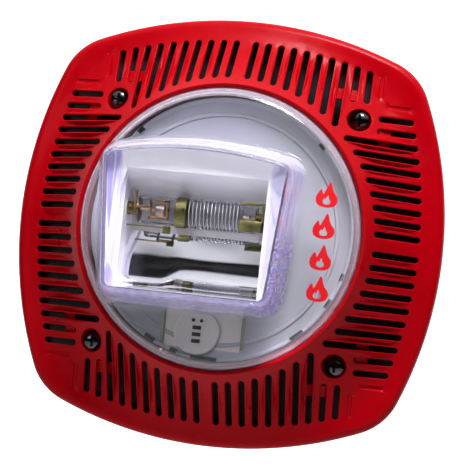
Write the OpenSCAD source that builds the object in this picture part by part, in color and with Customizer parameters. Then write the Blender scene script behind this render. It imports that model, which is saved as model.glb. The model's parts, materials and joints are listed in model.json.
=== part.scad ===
// Wall-mounted fire-alarm horn strobe, in millimetres.
// Every module draws in a local frame: x to the right, y up, z out of the wall towards the
// viewer, with z = 0 on the wall. wall_frame() turns that into the part's own frame, +Z up.

/* [Faceplate] */
// Width and height of the faceplate across its bulging sides
plate_w = 171.4; // [168:0.2:175]
// Radius of each bulging side
side_r = 158; // [150:1:170]
// Radius of each rounded corner
corner_r = 24; // [20:1:28]
// Height of the lip round the lens opening above the wall
bezel_z = 30.4; // [30:0.1:31]
// Height of the face above the wall at the corners
corner_z = 5.9; // [5.8:0.1:7]
// Thickness of the moulded wall
wall_t = 2.5; // [2.2:0.1:2.8]

/* [Grille] */
// Distance from one slot to the next
slot_pitch = 5.14; // [5.1:0.02:5.16]
// Width of a slot
slot_w = 2.3; // [1.8:0.1:2.4]
// How far from the centre the middle slots reach
slot_reach = 76.6; // [76:0.1:77]
// Open slots on each side of a centre rib
slot_count = 10; // [9:1:10]

/* [Lens] */
// Radius of the round lens opening
opening_r = 55; // [54.8:0.1:55.4]
// Height of the lens face above the wall at its centre
lens_z = 38; // [37.5:0.5:39]
// Width of the raised window over the reflector, at its upper side
window_w = 72; // [71:0.5:73]
// Height of the raised window at its middle
window_h = 57.6; // [57:0.2:58]
// How much each side of the window leans in at its lower end
window_taper = 4; // [3:0.5:5]
// Height of the window's face above the wall
window_z = 55; // [54.5:0.5:56]

/* [Mounting] */
// Distance between neighbouring mounting screws
screw_pitch = 96.8; // [96:0.2:98]
// Thread radius of a mounting screw, a No. 8
screw_r = 2.08; // [2:0.01:2.1]
// Length of screw that stands out behind the wall face
screw_reach = 14; // [10:1:18]

/* [Selectors] */
// Where along the lower edge the light-output slider rests
slider_x = -5.5; // [-7:0.5:-5]
// How far the light-output slider travels
slider_travel = 7.5; // [6:0.5:8]
// Angle of the arrow on the tone switch
tone_angle = 0; // [0:45:315]

/* [Hidden] */
$fn = 64;
eps = 0.01;
far = 200;                        // longer than any part, for cuts that go right through
half_w = plate_w / 2;
side_centre = half_w - side_r;    // centre of the side's arc, behind the middle of the plate
screw_xy = screw_pitch / 2;

// Face of the plate: a flared dish, steep at the lens and flat at the corners.
face_far_r = 88.4;
flare = 0.024;                    // how fast the face steepens towards the lens
face_steps = 9;

// Screw bosses
boss_r = 7;
recess_r = 4.7;
seat_z = 10.5;
hole_r = 2.4;
shank_r = 1.9;                    // plain shank between the head and the thread
post_screw_r = 1.45;
plate_screw_at = 80.2;
plate_boss_z = 5.5;
plate_screw_end = 5.6;

// Chassis and what stands on it
chassis_t = 2.5;
chassis_gap = 0.4;
driver_hole_r = 40.5;
post_at = 43.8;                   // radius of the circle of the four stack screws
post_r = 2.8;
post_hole_r = 1.7;

// Lens seat, strobe board and cover
collar_bottom = 17;
ledge_t = 1.5;
ledge_in_r = 52.5;
seat_top = collar_bottom + ledge_t;
hook_count = 8;
hook_w = 8;
hook_clear = 0.8;
lens_gap = 0.4;
lens_t = 2;
shoulder_r = 5.5;
shoulder_z = 35.2;
board_z = collar_bottom - 2;
board_t = 1.6;
board_r = 49;
cover_z = 20;
cover_t = 2;
cover_r = 52;

// Raised window and reflector
window_x = -7.5;
window_y = 0.2;
window_arch = 4.5;
window_corner = 4;
window_foot_z = 31;
window_draft = 0.25;              // how much each side leans out, per millimetre of depth
mirror_x = 27.2;                   // half length of the trough
mirror_top = 19;
mirror_bottom = -26.2;
mirror_mouth = 48.5;
mirror_back = 31.5;               // floor of the channel the tube lies in
mirror_t = 1.2;
flange_gap = 0.6;                 // between the reflector's flange and the lens
scoop_r = 11.5;                   // round lower part of the trough
tube_y = 4;
tube_z = 38.2;
tube_r = 5.4;
tube_half = 23;
end_cap_r = 2.6;
end_cap_len = 6;
coil_turns = 14;
coil_from = -3;                   // ends of the trigger winding, from the tube's middle
coil_to = 17;
lead_r = 0.5;

// Horn driver, a small sealed-rim cone driver
flange_r = 46.5;
flange_in_r = 38.6;
flange_t = 1.4;
cone_r = 33;
coil_r = 8.2;
pole_r = 7.6;
magnet_r = 22;
window_count = 10;

// Rear terminals and selectors
strip_y = -53;
strip_h = 9;
strip_t = 1.6;
pole_pitch = 6.35;
pole_count = 4;
block_x = 7;
block_depth = 11;
tone_x = -30;
rotor_r = 3;
rotor_gap = 0.05;
stem_y = -48.6;
stem_w = 2.4;
stem_gap = 0.4;
index_x = [-19, 12.6];           // marks on the cover at both ends of the dial's travel
wire_r = 0.7;
harness_x = -20.5;
harness_pitch = 2;

module wall_frame() rotate([90, 0, 0]) children();
module at_corners(d) for (sx = [-1, 1], sy = [-1, 1]) translate([sx * d, sy * d, 0]) children();
module around(count, start = 0) for (k = [0 : count - 1]) rotate([0, 0, start + 360 * k / count]) children();
module disc(r, z0, z1) translate([0, 0, z0]) cylinder(r = r, h = z1 - z0);
module ring(r_out, r_in, z0, z1) {
    difference() {
        disc(r_out, z0, z1);
        disc(r_in, z0 - 1, z1 + 1);
    }
}
module slab(x0, x1, y0, y1, z0, z1) translate([x0, y0, z0]) cube([x1 - x0, y1 - y0, z1 - z0]);
// A round bar along x, from x0 to x1.
module bar_x(r, x0, x1, y, z) translate([x0, y, z]) rotate([0, 90, 0]) cylinder(r = r, h = x1 - x0);

// ---- Outline of the plate: four arcs and four round corners ----
function arc(cx, cy, r, a0, a1, n) =
    [for (k = [0 : n - 1]) let (a = a0 + (a1 - a0) * k / n) [cx + r * cos(a), cy + r * sin(a)]];
// Angle from the middle of a side to where its corner starts, for a plate made smaller by inset.
function corner_angle() = acos(-side_centre / (side_r - corner_r) / sqrt(2)) - 45;
function corner_centre() = (side_r - corner_r) * sin(corner_angle());
function plate_outline(inset = 0) = let (a = corner_angle(), c = corner_centre()) [
    for (q = [0 : 3]) let (t = 90 * q, cq = cos(t), sq = sin(t))
        each [for (p = concat(
            arc(side_centre, 0, side_r - inset, -a, a, 10),
            arc(c, c, corner_r - inset, a, 90 - a, 6)))
            [p[0] * cq - p[1] * sq, p[0] * sq + p[1] * cq]]
];
module outline(inset = 0) polygon(plate_outline(inset));

// ---- Face of the plate ----
function face_height(r) = min(bezel_z, corner_z + flare * pow(max(0, face_far_r - r), 2));
function face_points() = [
    for (k = [0 : face_steps]) let (r = opening_r + (face_far_r - opening_r) * k / face_steps)
        [r, face_height(r)]
];
// Everything under the face, lowered by drop, out to a radius past the corners.
module under_face(drop, r_in = 0) {
    rotate_extrude($fn = 180)
        polygon(concat(
            [[r_in, -1], [r_in, bezel_z - drop]],
            [for (p = face_points()) [p[0], p[1] - drop]],
            [[110, corner_z - drop], [110, -1]]));
}

// ---- Grille slots ----
slot_arc_r = 178;
slot_inner_r = opening_r + 4.3;
function slot_x(k) = slot_pitch * (k - 0.245);
function slot_outer(x) = slot_reach - slot_arc_r + sqrt(pow(slot_arc_r, 2) - x * x);
// Slots end on a circle round the lens; the outer ones stop above the screw boss.
function slot_inner(x, k) = k > slot_count ? screw_xy + 10
    : k > slot_count - 2 ? screw_xy + 7.2 : sqrt(pow(slot_inner_r, 2) - x * x);
module slot_shape(x, y0, y1) {
    translate([x - slot_w / 2, y0 + slot_w / 2]) square([slot_w, y1 - y0 - slot_w]);
    translate([x, y0 + slot_w / 2]) circle(d = slot_w, $fn = 24);
    translate([x, y1 - slot_w / 2]) circle(d = slot_w, $fn = 24);
}
module slots(first, last) {
    for (q = [0 : 3], s = [-1, 1], k = [first : last])
        rotate(90 * q) slot_shape(s * slot_x(k), slot_inner(slot_x(k), k), slot_outer(slot_x(k)));
}

module plate_shell() {
    difference() {
        intersection() {
            linear_extrude(60) outline();
            under_face(0);
        }
        intersection() {
            translate([0, 0, -1]) linear_extrude(60) outline(wall_t);
            under_face(wall_t + 0.6);
        }
        disc(opening_r, -1, 60);
    }
}
// Short ribs behind the grille bars next to each screw boss.
module tie_ribs() {
    intersection() {
        for (q = [0 : 3], s = [-1, 1]) rotate(90 * q)
            slab(s * 42.6 - 5.2, s * 42.6 + 5.2, screw_xy + 8, screw_xy + 12.4, 0, 40);
        difference() {
            under_face(1.6);
            under_face(5);
        }
    }
}
module collar() {
    ring(opening_r + wall_t, opening_r, collar_bottom, face_height(opening_r + wall_t) - 1);
    difference() {
        ring(opening_r + eps, ledge_in_r, collar_bottom, seat_top);
        around(hook_count) slab(ledge_in_r - 1, opening_r + 1, -hook_w / 2 - hook_clear,
            hook_w / 2 + hook_clear, 0, bezel_z);
    }
}
module faceplate() {
    color("#c81218") wall_frame() difference() {
        union() {
            difference() {
                plate_shell();
                linear_extrude(60) slots(1, slot_count);
                difference() {
                    linear_extrude(60) slots(slot_count + 1, slot_count + 1);
                    intersection() {
                        translate([0, 0, -1]) linear_extrude(60) outline(-1);
                        under_face(0.8);
                    }
                }
            }
            collar();
            intersection() {
                union() {
                    at_corners(screw_xy) disc(boss_r, chassis_t, 40);
                    tie_ribs();
                }
                under_face(0.4);
            }
            for (a = [0 : 90 : 270]) rotate(a) translate([plate_screw_at, 0]) disc(3, chassis_t, plate_boss_z);
        }
        at_corners(screw_xy) disc(recess_r, seat_z, 60);
        at_corners(screw_xy) disc(hole_r, -1, 60);
        for (a = [0 : 90 : 270]) rotate(a) translate([plate_screw_at, 0]) disc(1.1, -1, plate_screw_end);
    }
}

module mounting_screw() {
    head_h = 3;
    disc(screw_r, -screw_reach, 0);
    disc(shank_r, -eps, seat_z + eps);
    difference() {
        disc(4.1, seat_z, seat_z + head_h);
        for (a = [0, 90]) rotate(a) slab(-2.6, 2.6, -0.5, 0.5, seat_z + 1.2, seat_z + head_h + 1);
    }
}
module mounting_screws() color("#1a1a1c") wall_frame() at_corners(screw_xy) mounting_screw();

// ---- Lens ----
// Outline of the raised window: a rounded rectangle whose upper side is arched.
function window_outline(w, h, arch, r) = let (R = (w * w / 4 + arch * arch) / (2 * arch),
    a = asin((w / 2 - r) / (R - r)), y0 = h / 2 - R) concat(
    arc(w / 2 - window_taper - r, -h / 2 + r, r, -90, 0, 5),
    arc((R - r) * sin(a), y0 + (R - r) * cos(a), r, 0, 90 - a, 5),
    arc(0, y0, R, 90 - a, 90 + a, 10),
    arc(-(R - r) * sin(a), y0 + (R - r) * cos(a), r, 90 + a, 180, 5),
    arc(-w / 2 + window_taper + r, -h / 2 + r, r, 180, 270, 5));
module window_slice(z, inset) {
    grow = 2 * (window_z - z) * window_draft - 2 * inset;
    translate([window_x, window_y, z - eps]) linear_extrude(eps)
        polygon(window_outline(window_w + grow, window_h + grow, window_arch, window_corner));
}
module window_block(inset) {
    edge = 1.5;
    hull() {
        window_slice(window_z - inset, inset + edge);
        window_slice(window_z - inset - edge, inset);
        window_slice(window_foot_z, inset);
    }
}
function lens_profile(inset) =
    let (r = opening_r - lens_gap - inset, z = shoulder_z - inset, s = shoulder_r - inset)
    concat([[0, seat_top]], [[r, seat_top]], arc(r - s, z - s, s, 0, 90, 7), [
        for (k = [0 : 5]) let (x = (r - s) * (1 - k / 5))
            [x, z + (lens_z - shoulder_z) * (1 - pow(x / (r - s), 2))]
    ]);
module lens_solid(inset) {
    intersection() {
        disc(opening_r - lens_gap - inset, seat_top - 1, 60);
        union() {
            rotate_extrude($fn = 120) polygon(lens_profile(inset));
            window_block(inset);
        }
    }
}
module lens_hook() {
    slab(ledge_in_r + 0.3, ledge_in_r + 1.9, -hook_w / 2, hook_w / 2, 13, seat_top + 1);
    slab(ledge_in_r + 1.9 - eps, opening_r + 1, -hook_w / 2, hook_w / 2, 14.6, collar_bottom - 0.2);
}
module lens() {
    color("#dfe4f2", 0.4) wall_frame() union() {
        difference() {
            lens_solid(0);
            lens_solid(lens_t);
            disc(opening_r - lens_gap - lens_t, 0, seat_top + 1);
        }
        around(hook_count) lens_hook();
    }
}

// ---- Light unit ----
// Section of the trough from its upper lip to its lower one: a flat facet, the channel for the
// tube, a step and a round scoop.
function mirror_line() = concat([
        [mirror_top, mirror_mouth], [11.5, 37.5], [9.5, mirror_back], [-4, mirror_back],
        [-12.5, mirror_mouth - scoop_r]],
    [for (k = [0 : 10]) let (a = 9 * k)
        [mirror_bottom + scoop_r * (1 - sin(a)), mirror_mouth - scoop_r * cos(a)]]);
module trough(x0, x1, line) {
    translate([x0, 0, 0]) rotate([90, 0, 90]) linear_extrude(x1 - x0) polygon(line);
}
// The same section moved outwards by the wall thickness.
function turn_out(d) = [-d[1], d[0]];
function wall_line(line, t) = [
    for (k = [0 : len(line) - 1]) let (
        a = turn_out(unit(line[max(k, 1)] - line[max(k, 1) - 1])),
        b = turn_out(unit(line[min(k + 1, len(line) - 1)] - line[min(k, len(line) - 2)])),
        m = unit(a + b))
        line[k] + m * t / (m * a)
];
// The flange fills the window round the mouth of the trough.
module mirror_flange() {
    grow = 2 * (window_z - mirror_mouth) * window_draft - 2 * (lens_t + flange_gap);
    translate([0, window_y, mirror_mouth - mirror_t]) linear_extrude(mirror_t)
        polygon(window_outline(window_w + grow, window_h + grow, window_arch, window_corner));
}
module reflector() {
    ends = mirror_x + mirror_t;
    line = mirror_line();
    outer = wall_line(line, mirror_t);
    color("#d8dade") wall_frame() translate([window_x, 0, 0]) difference() {
        union() {
            intersection() {
                trough(-ends, ends, concat([[outer[0][0], mirror_mouth + 5]], outer,
                    [[outer[len(outer) - 1][0], mirror_mouth + 5]]));
                slab(-ends, ends, -40, 40, 0, mirror_mouth);
            }
            mirror_flange();
            for (sx = [-1, 1], y = [-2, 7.5]) translate([sx * 20, y, 0])
                disc(1.6, cover_z + cover_t, mirror_back - 0.4);
        }
        trough(-mirror_x, mirror_x, concat([[mirror_top, mirror_mouth + 5]], line,
            [[mirror_bottom, mirror_mouth + 5]]));
        bar_x(end_cap_r + 1.4, -ends - 1, ends + 1, tube_y, tube_z);
    }
}
module flash_tube() {
    color("#e8f0ff", 0.4) wall_frame()
        bar_x(tube_r, window_x - tube_half, window_x + tube_half, tube_y, tube_z);
}
module tube_caps() {
    color("#b9b9a8") wall_frame() for (s = [-1, 1])
        bar_x(end_cap_r, window_x + (s > 0 ? tube_half : -tube_half - end_cap_len),
            window_x + (s > 0 ? tube_half + end_cap_len : -tube_half), tube_y, tube_z);
}
module tube_grommets() {
    color("#e6e3dc") wall_frame() for (s = [-1, 1])
        translate([window_x + s * (mirror_x + mirror_t / 2), tube_y, tube_z]) rotate([0, 90, 0]) difference() {
            cylinder(r = end_cap_r + 1.4, h = mirror_t, center = true);
            cylinder(r = end_cap_r, h = mirror_t + 1, center = true);
        }
}
module tube_leads() {
    color("#c9b27a") wall_frame() for (s = [-1, 1])
        translate([window_x + s * (tube_half + end_cap_len + lead_r), tube_y, 0])
            disc(lead_r, board_z + board_t, tube_z + lead_r);
}
module trigger_wire() {
    color("#8a8f96") wall_frame() translate([window_x, tube_y, tube_z]) {
        for (k = [0 : coil_turns - 1])
            translate([coil_from + (coil_to - coil_from) * k / (coil_turns - 1) - 0.2, 0, 0]) rotate([0, 90, 0])
            difference() {
                cylinder(r = tube_r + 0.4, h = 0.4);
                translate([0, 0, -1]) cylinder(r = tube_r, h = 3);
            }
        slab(coil_from, coil_to, -0.2, 0.2, -tube_r - 0.35, -tube_r - 0.05);
    }
}

// Two round-ended slots carry the slider's stem; the longer reach is its travel.
module stem_slot(gap) {
    slab(slider_x - stem_w / 2 - gap, slider_x + slider_travel + stem_w / 2 + gap,
        stem_y - stem_w / 2 - gap, stem_y + stem_w / 2 + gap, -20, cover_z + cover_t + 1);
}
module lead_holes() {
    for (s = [-1, 1]) translate([window_x + s * (tube_half + end_cap_len + lead_r), tube_y, 0])
        disc(lead_r + 0.3, cover_z - 1, 30);
}
module strobe_cover() {
    color("#c9ccd2") wall_frame() difference() {
        union() {
            disc(cover_r, cover_z, cover_z + cover_t);
            around(4, 45) translate([post_at, 0, 0]) disc(post_r, board_z + board_t, cover_z + eps);
            for (x = index_x) slab(x - 0.7, x + 0.7, -46, -32, cover_z, cover_z + cover_t + 0.8);
        }
        around(4, 45) translate([post_at, 0, 0]) disc(post_screw_r, 0, cover_z + 0.8);
        stem_slot(stem_gap);
        lead_holes();
    }
}
module strobe_board() {
    color("#2f6b3c") wall_frame() difference() {
        disc(board_r, board_z, board_z + board_t);
        around(4, 45) translate([post_at, 0, 0]) disc(post_hole_r, 0, 30);
        slab(slider_x - stem_w - 1, slider_x + slider_travel + stem_w + 1, -60, stem_y + stem_w / 2 + 1, 0, 30);
    }
}
module flash_capacitor() {
    color("#26303c") wall_frame() bar_x(5, 6, 31, -22, board_z - 5);
}
module trigger_transformer() {
    color("#20242a") wall_frame() {
        slab(-34, -25, -16, -8, board_z - 8, board_z);
    }
}
module boost_inductor() {
    color("#4a3a2a") wall_frame() translate([-20, 22, 0]) {
        disc(6, board_z - 1.2, board_z);
        disc(3.5, board_z - 6.8, board_z - 1.2);
        disc(6, board_z - 8, board_z - 6.8);
    }
}
module board_parts() {
    color("#1c1c1e") wall_frame() {
        slab(-5, 5, 18, 24, board_z - 1.8, board_z);
        slab(12, 18, 16, 26, board_z - 2.2, board_z);
        slab(26, 30, 4, 14, board_z - 4.5, board_z);
        for (k = [0 : 4]) slab(-10 + 5 * k, -7 + 5 * k, 30, 31.6, board_z - 0.9, board_z);
        for (k = [0 : 3]) slab(-36, -33, 2 + 4 * k, 3.6 + 4 * k, board_z - 0.9, board_z);
    }
}

// ---- Chassis ----
module chassis() {
    color("#17171a") wall_frame() difference() {
        union() {
            linear_extrude(chassis_t) outline(wall_t + chassis_gap);
            around(4, 45) translate([post_at, 0, 0]) disc(post_r, 0, board_z);
            ring(driver_hole_r + 1.6, driver_hole_r, 0, 5);
        }
        disc(driver_hole_r, -1, 20);
        at_corners(screw_xy) disc(hole_r, -1, 20);
        around(4, 45) translate([post_at, 0, 0]) disc(post_hole_r, -1, 30);
        for (a = [0 : 90 : 270]) rotate(a) translate([plate_screw_at, 0]) {
            disc(1.7, -1, 8);
            disc(2.9, -1, 1.3);
        }
        stem_slot(stem_gap);
        slab(harness_x - 2, harness_x + 3 * harness_pitch + 2, -52.5, -47.6, -1, 8);
        rim_groove(-1);
    }
}
module stack_screws() {
    color("#9aa0a6") wall_frame() around(4, 45) translate([post_at, 0, 0]) {
        disc(post_screw_r, -flange_t - eps, cover_z + 0.8);
        difference() {
            disc(2.7, -flange_t - 2, -flange_t);
            slab(-1.8, 1.8, -0.4, 0.4, -flange_t - 3, -flange_t - 1.1);
            slab(-0.4, 0.4, -1.8, 1.8, -flange_t - 3, -flange_t - 1.1);
        }
    }
}
module plate_screws() {
    color("#9aa0a6") wall_frame() for (a = [0 : 90 : 270]) rotate(a) translate([plate_screw_at, 0, 0]) {
        disc(1.1, 1.3 - eps, plate_screw_end - 0.4);
        difference() {
            disc(2.6, 0.1, 1.3);
            slab(-1.7, 1.7, -0.35, 0.35, -1, 0.7);
        }
    }
}
// A foam strip in a groove of the chassis seals it against the wall.
gasket_t = 1.2;
module rim_groove(z0) {
    translate([0, 0, z0]) linear_extrude(gasket_t - z0) difference() {
        outline(wall_t + chassis_gap + 6);
        outline(wall_t + chassis_gap + 9);
    }
}
module rim_gasket() color("#2b2b2e") wall_frame() rim_groove(0);

// ---- Horn driver ----
module revolve(points, n = 96) rotate_extrude($fn = n) polygon(points);
basket_ledge_z = -13.6;
basket_floor_z = -17;
module driver_basket() {
    t = 1.2;
    color("#3a3d42") wall_frame() difference() {
        revolve([[flange_r, 0], [flange_in_r, 0], [flange_in_r, -flange_t], [26.2, basket_ledge_z],
            [22.4, basket_ledge_z], [19.6, basket_floor_z], [9.6, basket_floor_z],
            [9.6, basket_floor_z - t], [20.4, basket_floor_z - t], [23, basket_ledge_z - t],
            [26.8, basket_ledge_z - t], [39.8, -flange_t], [flange_r, -flange_t]]);
        around(4, 45) translate([post_at, 0, 0]) disc(post_hole_r, -5, 5);
        around(window_count, 18) slab(27.6, 36.4, -5.5, 5.5, -30, 5);
    }
}
module basket_gasket() {
    color("#4b4b50") wall_frame() ring(driver_hole_r - 0.3, flange_in_r, 0.5, 1.3);
}
surround_z = 0;
module surround() {
    color("#141416") wall_frame() revolve(concat(
        [[driver_hole_r - 0.3, 0], [driver_hole_r - 0.3, 0.5]],
        [for (k = [0 : 8]) let (a = 180 * k / 8) [36 + 2.6 * cos(a), 0.5 + 2.2 * sin(a)]],
        [[cone_r, 0.5], [cone_r - 1.4, 0.5], [cone_r - 1.4, 0], [33.8, 0]],
        [for (k = [0 : 8]) let (a = 180 - 180 * k / 8) [36 + 2.2 * cos(a), 1.8 * sin(a)]]));
}
cone_neck_z = -11;
module cone() {
    color("#1d1d20") wall_frame() revolve([
        [cone_r, 0], [cone_r, -0.5], [coil_r + 0.7, cone_neck_z - 0.6], [coil_r + 0.7, cone_neck_z - 1.6],
        [coil_r, cone_neck_z - 1.6], [coil_r, cone_neck_z], [cone_r - 2.2, 0]
    ]);
}
module dust_cap() {
    cap_r = 11;
    dome = 4;
    R = (cap_r * cap_r + dome * dome) / (2 * dome);
    function cap_arc(shrink) = [for (k = [0 : 8]) let (a = asin(cap_r / R) * k / 8)
        [(R - shrink) * sin(a), (R - shrink) * cos(a) - R + dome]];
    base_z = cone_neck_z + (cap_r - coil_r) * (-cone_neck_z) / (cone_r - 2.2 - coil_r);
    color("#101012") wall_frame() translate([0, 0, base_z + 0.3])
        revolve(concat(cap_arc(0), [for (k = [8 : -1 : 0]) cap_arc(0.6)[k]]), 64);
}
module voice_coil_former() color("#c8a46a") wall_frame() ring(coil_r, pole_r + 0.35, -24, cone_neck_z);
module voice_coil() color("#b8622c") wall_frame() ring(coil_r + 0.3, coil_r, -23.6, -18);
module spider() {
    waves = 4;
    r0 = coil_r;
    r1 = 22.2;
    steps = waves * 4;
    function wave(z) = [
        for (k = [0 : steps]) [r0 + (r1 - r0) * k / steps, z - 0.6 * sin(360 * waves * k / steps)]
    ];
    color("#c9983c") wall_frame() revolve(concat(wave(basket_ledge_z + 0.5),
        [[25.4, basket_ledge_z + 0.5], [25.4, basket_ledge_z], [22.6, basket_ledge_z]],
        [for (k = [steps : -1 : 0]) wave(basket_ledge_z)[k]]));
}
top_plate_z = basket_floor_z - 1.2;
magnet_z = top_plate_z - 3;
yoke_z = magnet_z - 8;
module top_plate() color("#8d9196") wall_frame() ring(19.2, coil_r + 0.7, magnet_z, top_plate_z);
module magnet() color("#2a2a2d") wall_frame() ring(magnet_r, 10.8, yoke_z, magnet_z);
module yoke() {
    color("#8d9196") wall_frame() {
        disc(19.2, yoke_z - 3, yoke_z);
        disc(pole_r, yoke_z - 3, top_plate_z);
    }
}

// ---- Rear strip: terminals, tone switch, wiring ----
tag_angle = 250;
module tag_strip() {
    color("#7a4a22") wall_frame() rotate(tag_angle) translate([42.6, 0, 0]) {
        slab(-2.4, 2.4, -6, 6, -flange_t - 1.5, -flange_t);
        for (s = [-1, 1]) slab(-1.4, 4.6, s * 3 - 1, s * 3 + 1, -flange_t - 2, -flange_t - 1.5);
    }
}
module terminal_board() {
    color("#2f6b3c") wall_frame() difference() {
        slab(-37, 36, strip_y - strip_h / 2, strip_y + strip_h / 2, -strip_t, 0);
        stem_slot(stem_gap);
    }
}
function pole_x(k) = block_x + pole_pitch * (k + 0.5);
block_back = -strip_t - block_depth;
clamp_z = block_back + 4;
module terminal_block() {
    color("#1d3a2a") wall_frame() difference() {
        slab(block_x, block_x + pole_pitch * pole_count, strip_y - 4.3, strip_y + 4.3, block_back, -strip_t);
        for (k = [0 : pole_count - 1]) translate([pole_x(k), strip_y, 0]) {
            disc(2.7, block_back - 1, clamp_z);
            slab(-2.5, 2.5, -6, 2.6, clamp_z - eps, clamp_z + 4.6);
        }
    }
}
module terminal_screws() {
    color("#c3c6c9") wall_frame() for (k = [0 : pole_count - 1]) translate([pole_x(k), strip_y, 0]) {
        disc(1.5, block_back + 2 - eps, clamp_z + 3);
        difference() {
            disc(2.6, block_back + 0.6, block_back + 2);
            slab(-2, 2, -0.4, 0.4, block_back, block_back + 1.3);
        }
    }
}
module wire_clamps() {
    color("#d8c07a") wall_frame() for (k = [0 : pole_count - 1])
        translate([pole_x(k), strip_y, 0]) difference() {
            slab(-2.3, 2.3, -2.4, 2.4, clamp_z + 0.3, clamp_z + 1.3);
            disc(1.5, clamp_z - 1, clamp_z + 3);
        }
}
module tone_switch_body() {
    color("#1b1b1d") wall_frame() translate([tone_x, strip_y, 0]) difference() {
        slab(-4.4, 4.4, -4.4, 4.4, -strip_t - 4, -strip_t);
        disc(rotor_r + rotor_gap, -strip_t - 5, -strip_t - 1);
    }
}
module tone_switch_rotor() {
    color("#e9e4d6") wall_frame() translate([tone_x, strip_y, 0]) rotate(tone_angle) difference() {
        disc(rotor_r, -strip_t - 4.4, -strip_t - 1.1);
        slab(-0.4, 0.4, -2.2, 2.2, -strip_t - 5, -strip_t - 3.3);
        translate([0, 1.6, -strip_t - 5]) cylinder(r = 1.1, h = 1.7, $fn = 3);
    }
}
// The light-output slider: a knob at the back, a stem through the chassis, a dial in the lens.
module slider() {
    dial_z = cover_z + cover_t + 0.4;
    color("#f2f1ec") wall_frame() translate([slider_x, 0, 0]) {
        slab(-stem_w / 2, stem_w / 2, stem_y - stem_w / 2, stem_y + stem_w / 2, -strip_t - 1.5, dial_z + eps);
        intersection() {
            translate([0, -40.6, 0]) disc(9.2, dial_z, dial_z + 1.2);
            slab(-9, 9, stem_y - stem_w / 2, -32.8, dial_z, dial_z + 2);
        }
        slab(-2.6, 2.6, stem_y - 2.4, stem_y + 1.6, -strip_t - 3.5, -strip_t - 0.5);
    }
}

// A wire of radius r along a list of points: one ring of sides at each point.
function unit(v) = v / norm(v);
function bend_dir(path, k) = unit(path[min(k + 1, len(path) - 1)] - path[max(k - 1, 0)]);
function wire_ring(p, d, r, sides) =
    let (u = unit(cross(d, abs(d[0]) < 0.9 ? [1, 0, 0] : [0, 1, 0])), v = cross(d, u))
    [for (j = [0 : sides - 1]) let (a = 360 * j / sides) p + r * (u * cos(a) + v * sin(a))];
module wire(path, r, sides = 8) {
    n = len(path);
    points = [for (k = [0 : n - 1]) each wire_ring(path[k], bend_dir(path, k), r, sides)];
    walls = [for (k = [0 : n - 2], j = [0 : sides - 1]) let (a = k * sides + j, b = k * sides + (j + 1) % sides)
        [a, b, b + sides, a + sides]];
    polyhedron(points, concat([[for (j = [sides - 1 : -1 : 0]) j]], walls,
        [[for (j = [0 : sides - 1]) (n - 1) * sides + j]]));
}
// A smooth S from one point to the other, upright at both ends.
function s_route(a, b, n = 10, lead = 0.8) = concat([a],
    [for (k = [0 : n]) let (t = k / n, s = t * t * (3 - 2 * t))
        [a[0] + (b[0] - a[0]) * s, a[1] + (b[1] - a[1]) * s, a[2] + lead + (b[2] - a[2] - 2 * lead) * t]],
    [b]);
module board_harness() {
    color("#b03028") wall_frame() for (k = [0 : 3])
        wire(s_route([harness_x + harness_pitch * k, -50, 0], [harness_x + harness_pitch * k, -41, board_z], 8),
            wire_r, 6);
}
// A loop that leaves one point straight backwards and comes back to the other.
function loop_route(a, b, sag, n = 8) = concat([a],
    [for (k = [0 : n]) let (t = k / n) a + (b - a) * t + [0, 0, -1.2 - sag * sin(180 * t)]], [b]);
function tag_end(s) = [45.4 * cos(tag_angle) - s * 3 * sin(tag_angle),
    45.4 * sin(tag_angle) + s * 3 * cos(tag_angle), -flange_t - 2];
module driver_leads() {
    color("#c03a30") wall_frame() for (s = [-1, 1])
        wire(loop_route(tag_end(s), [-16.5 + 3.5 * s, -51.5, -strip_t], 2.5), wire_r, 6);
}

faceplate();
mounting_screws();
lens();
strobe_cover();
reflector();
flash_tube();
tube_caps();
tube_grommets();
tube_leads();
trigger_wire();
strobe_board();
flash_capacitor();
trigger_transformer();
boost_inductor();
board_parts();
chassis();
stack_screws();
plate_screws();
driver_basket();
basket_gasket();
surround();
cone();
dust_cap();
voice_coil_former();
voice_coil();
spider();
top_plate();
magnet();
yoke();
tag_strip();
driver_leads();
terminal_board();
terminal_block();
terminal_screws();
wire_clamps();
tone_switch_body();
tone_switch_rotor();
slider();
board_harness();
rim_gasket();
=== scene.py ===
import json
import math

import bmesh
import bpy
import numpy as np
from mathutils import Matrix, Vector
from mathutils.geometry import delaunay_2d_cdt


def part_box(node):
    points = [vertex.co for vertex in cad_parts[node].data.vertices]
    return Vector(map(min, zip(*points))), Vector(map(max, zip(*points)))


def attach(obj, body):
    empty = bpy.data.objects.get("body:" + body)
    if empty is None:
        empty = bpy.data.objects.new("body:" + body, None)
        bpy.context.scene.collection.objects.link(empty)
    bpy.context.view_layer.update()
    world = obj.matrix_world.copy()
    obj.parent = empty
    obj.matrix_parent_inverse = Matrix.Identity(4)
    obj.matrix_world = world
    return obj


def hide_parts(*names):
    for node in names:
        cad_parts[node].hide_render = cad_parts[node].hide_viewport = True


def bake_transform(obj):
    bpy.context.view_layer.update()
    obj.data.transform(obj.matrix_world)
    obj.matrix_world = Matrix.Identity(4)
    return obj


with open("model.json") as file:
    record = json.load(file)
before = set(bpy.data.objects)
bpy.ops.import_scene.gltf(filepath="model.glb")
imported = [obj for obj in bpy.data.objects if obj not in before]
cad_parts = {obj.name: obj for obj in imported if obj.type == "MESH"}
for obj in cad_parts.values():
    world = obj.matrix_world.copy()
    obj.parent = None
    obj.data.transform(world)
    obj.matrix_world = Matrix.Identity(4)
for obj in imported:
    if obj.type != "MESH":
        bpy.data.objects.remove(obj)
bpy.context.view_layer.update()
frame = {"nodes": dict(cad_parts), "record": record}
MM = 0.001

# Shapes are drawn in millimetres in the wall's own axes: x right, y up, z out of the wall.
# wall() takes them to the row frame in metres.


def wall(x, y, z):
    return Vector((x * MM, -z * MM, y * MM))


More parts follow.
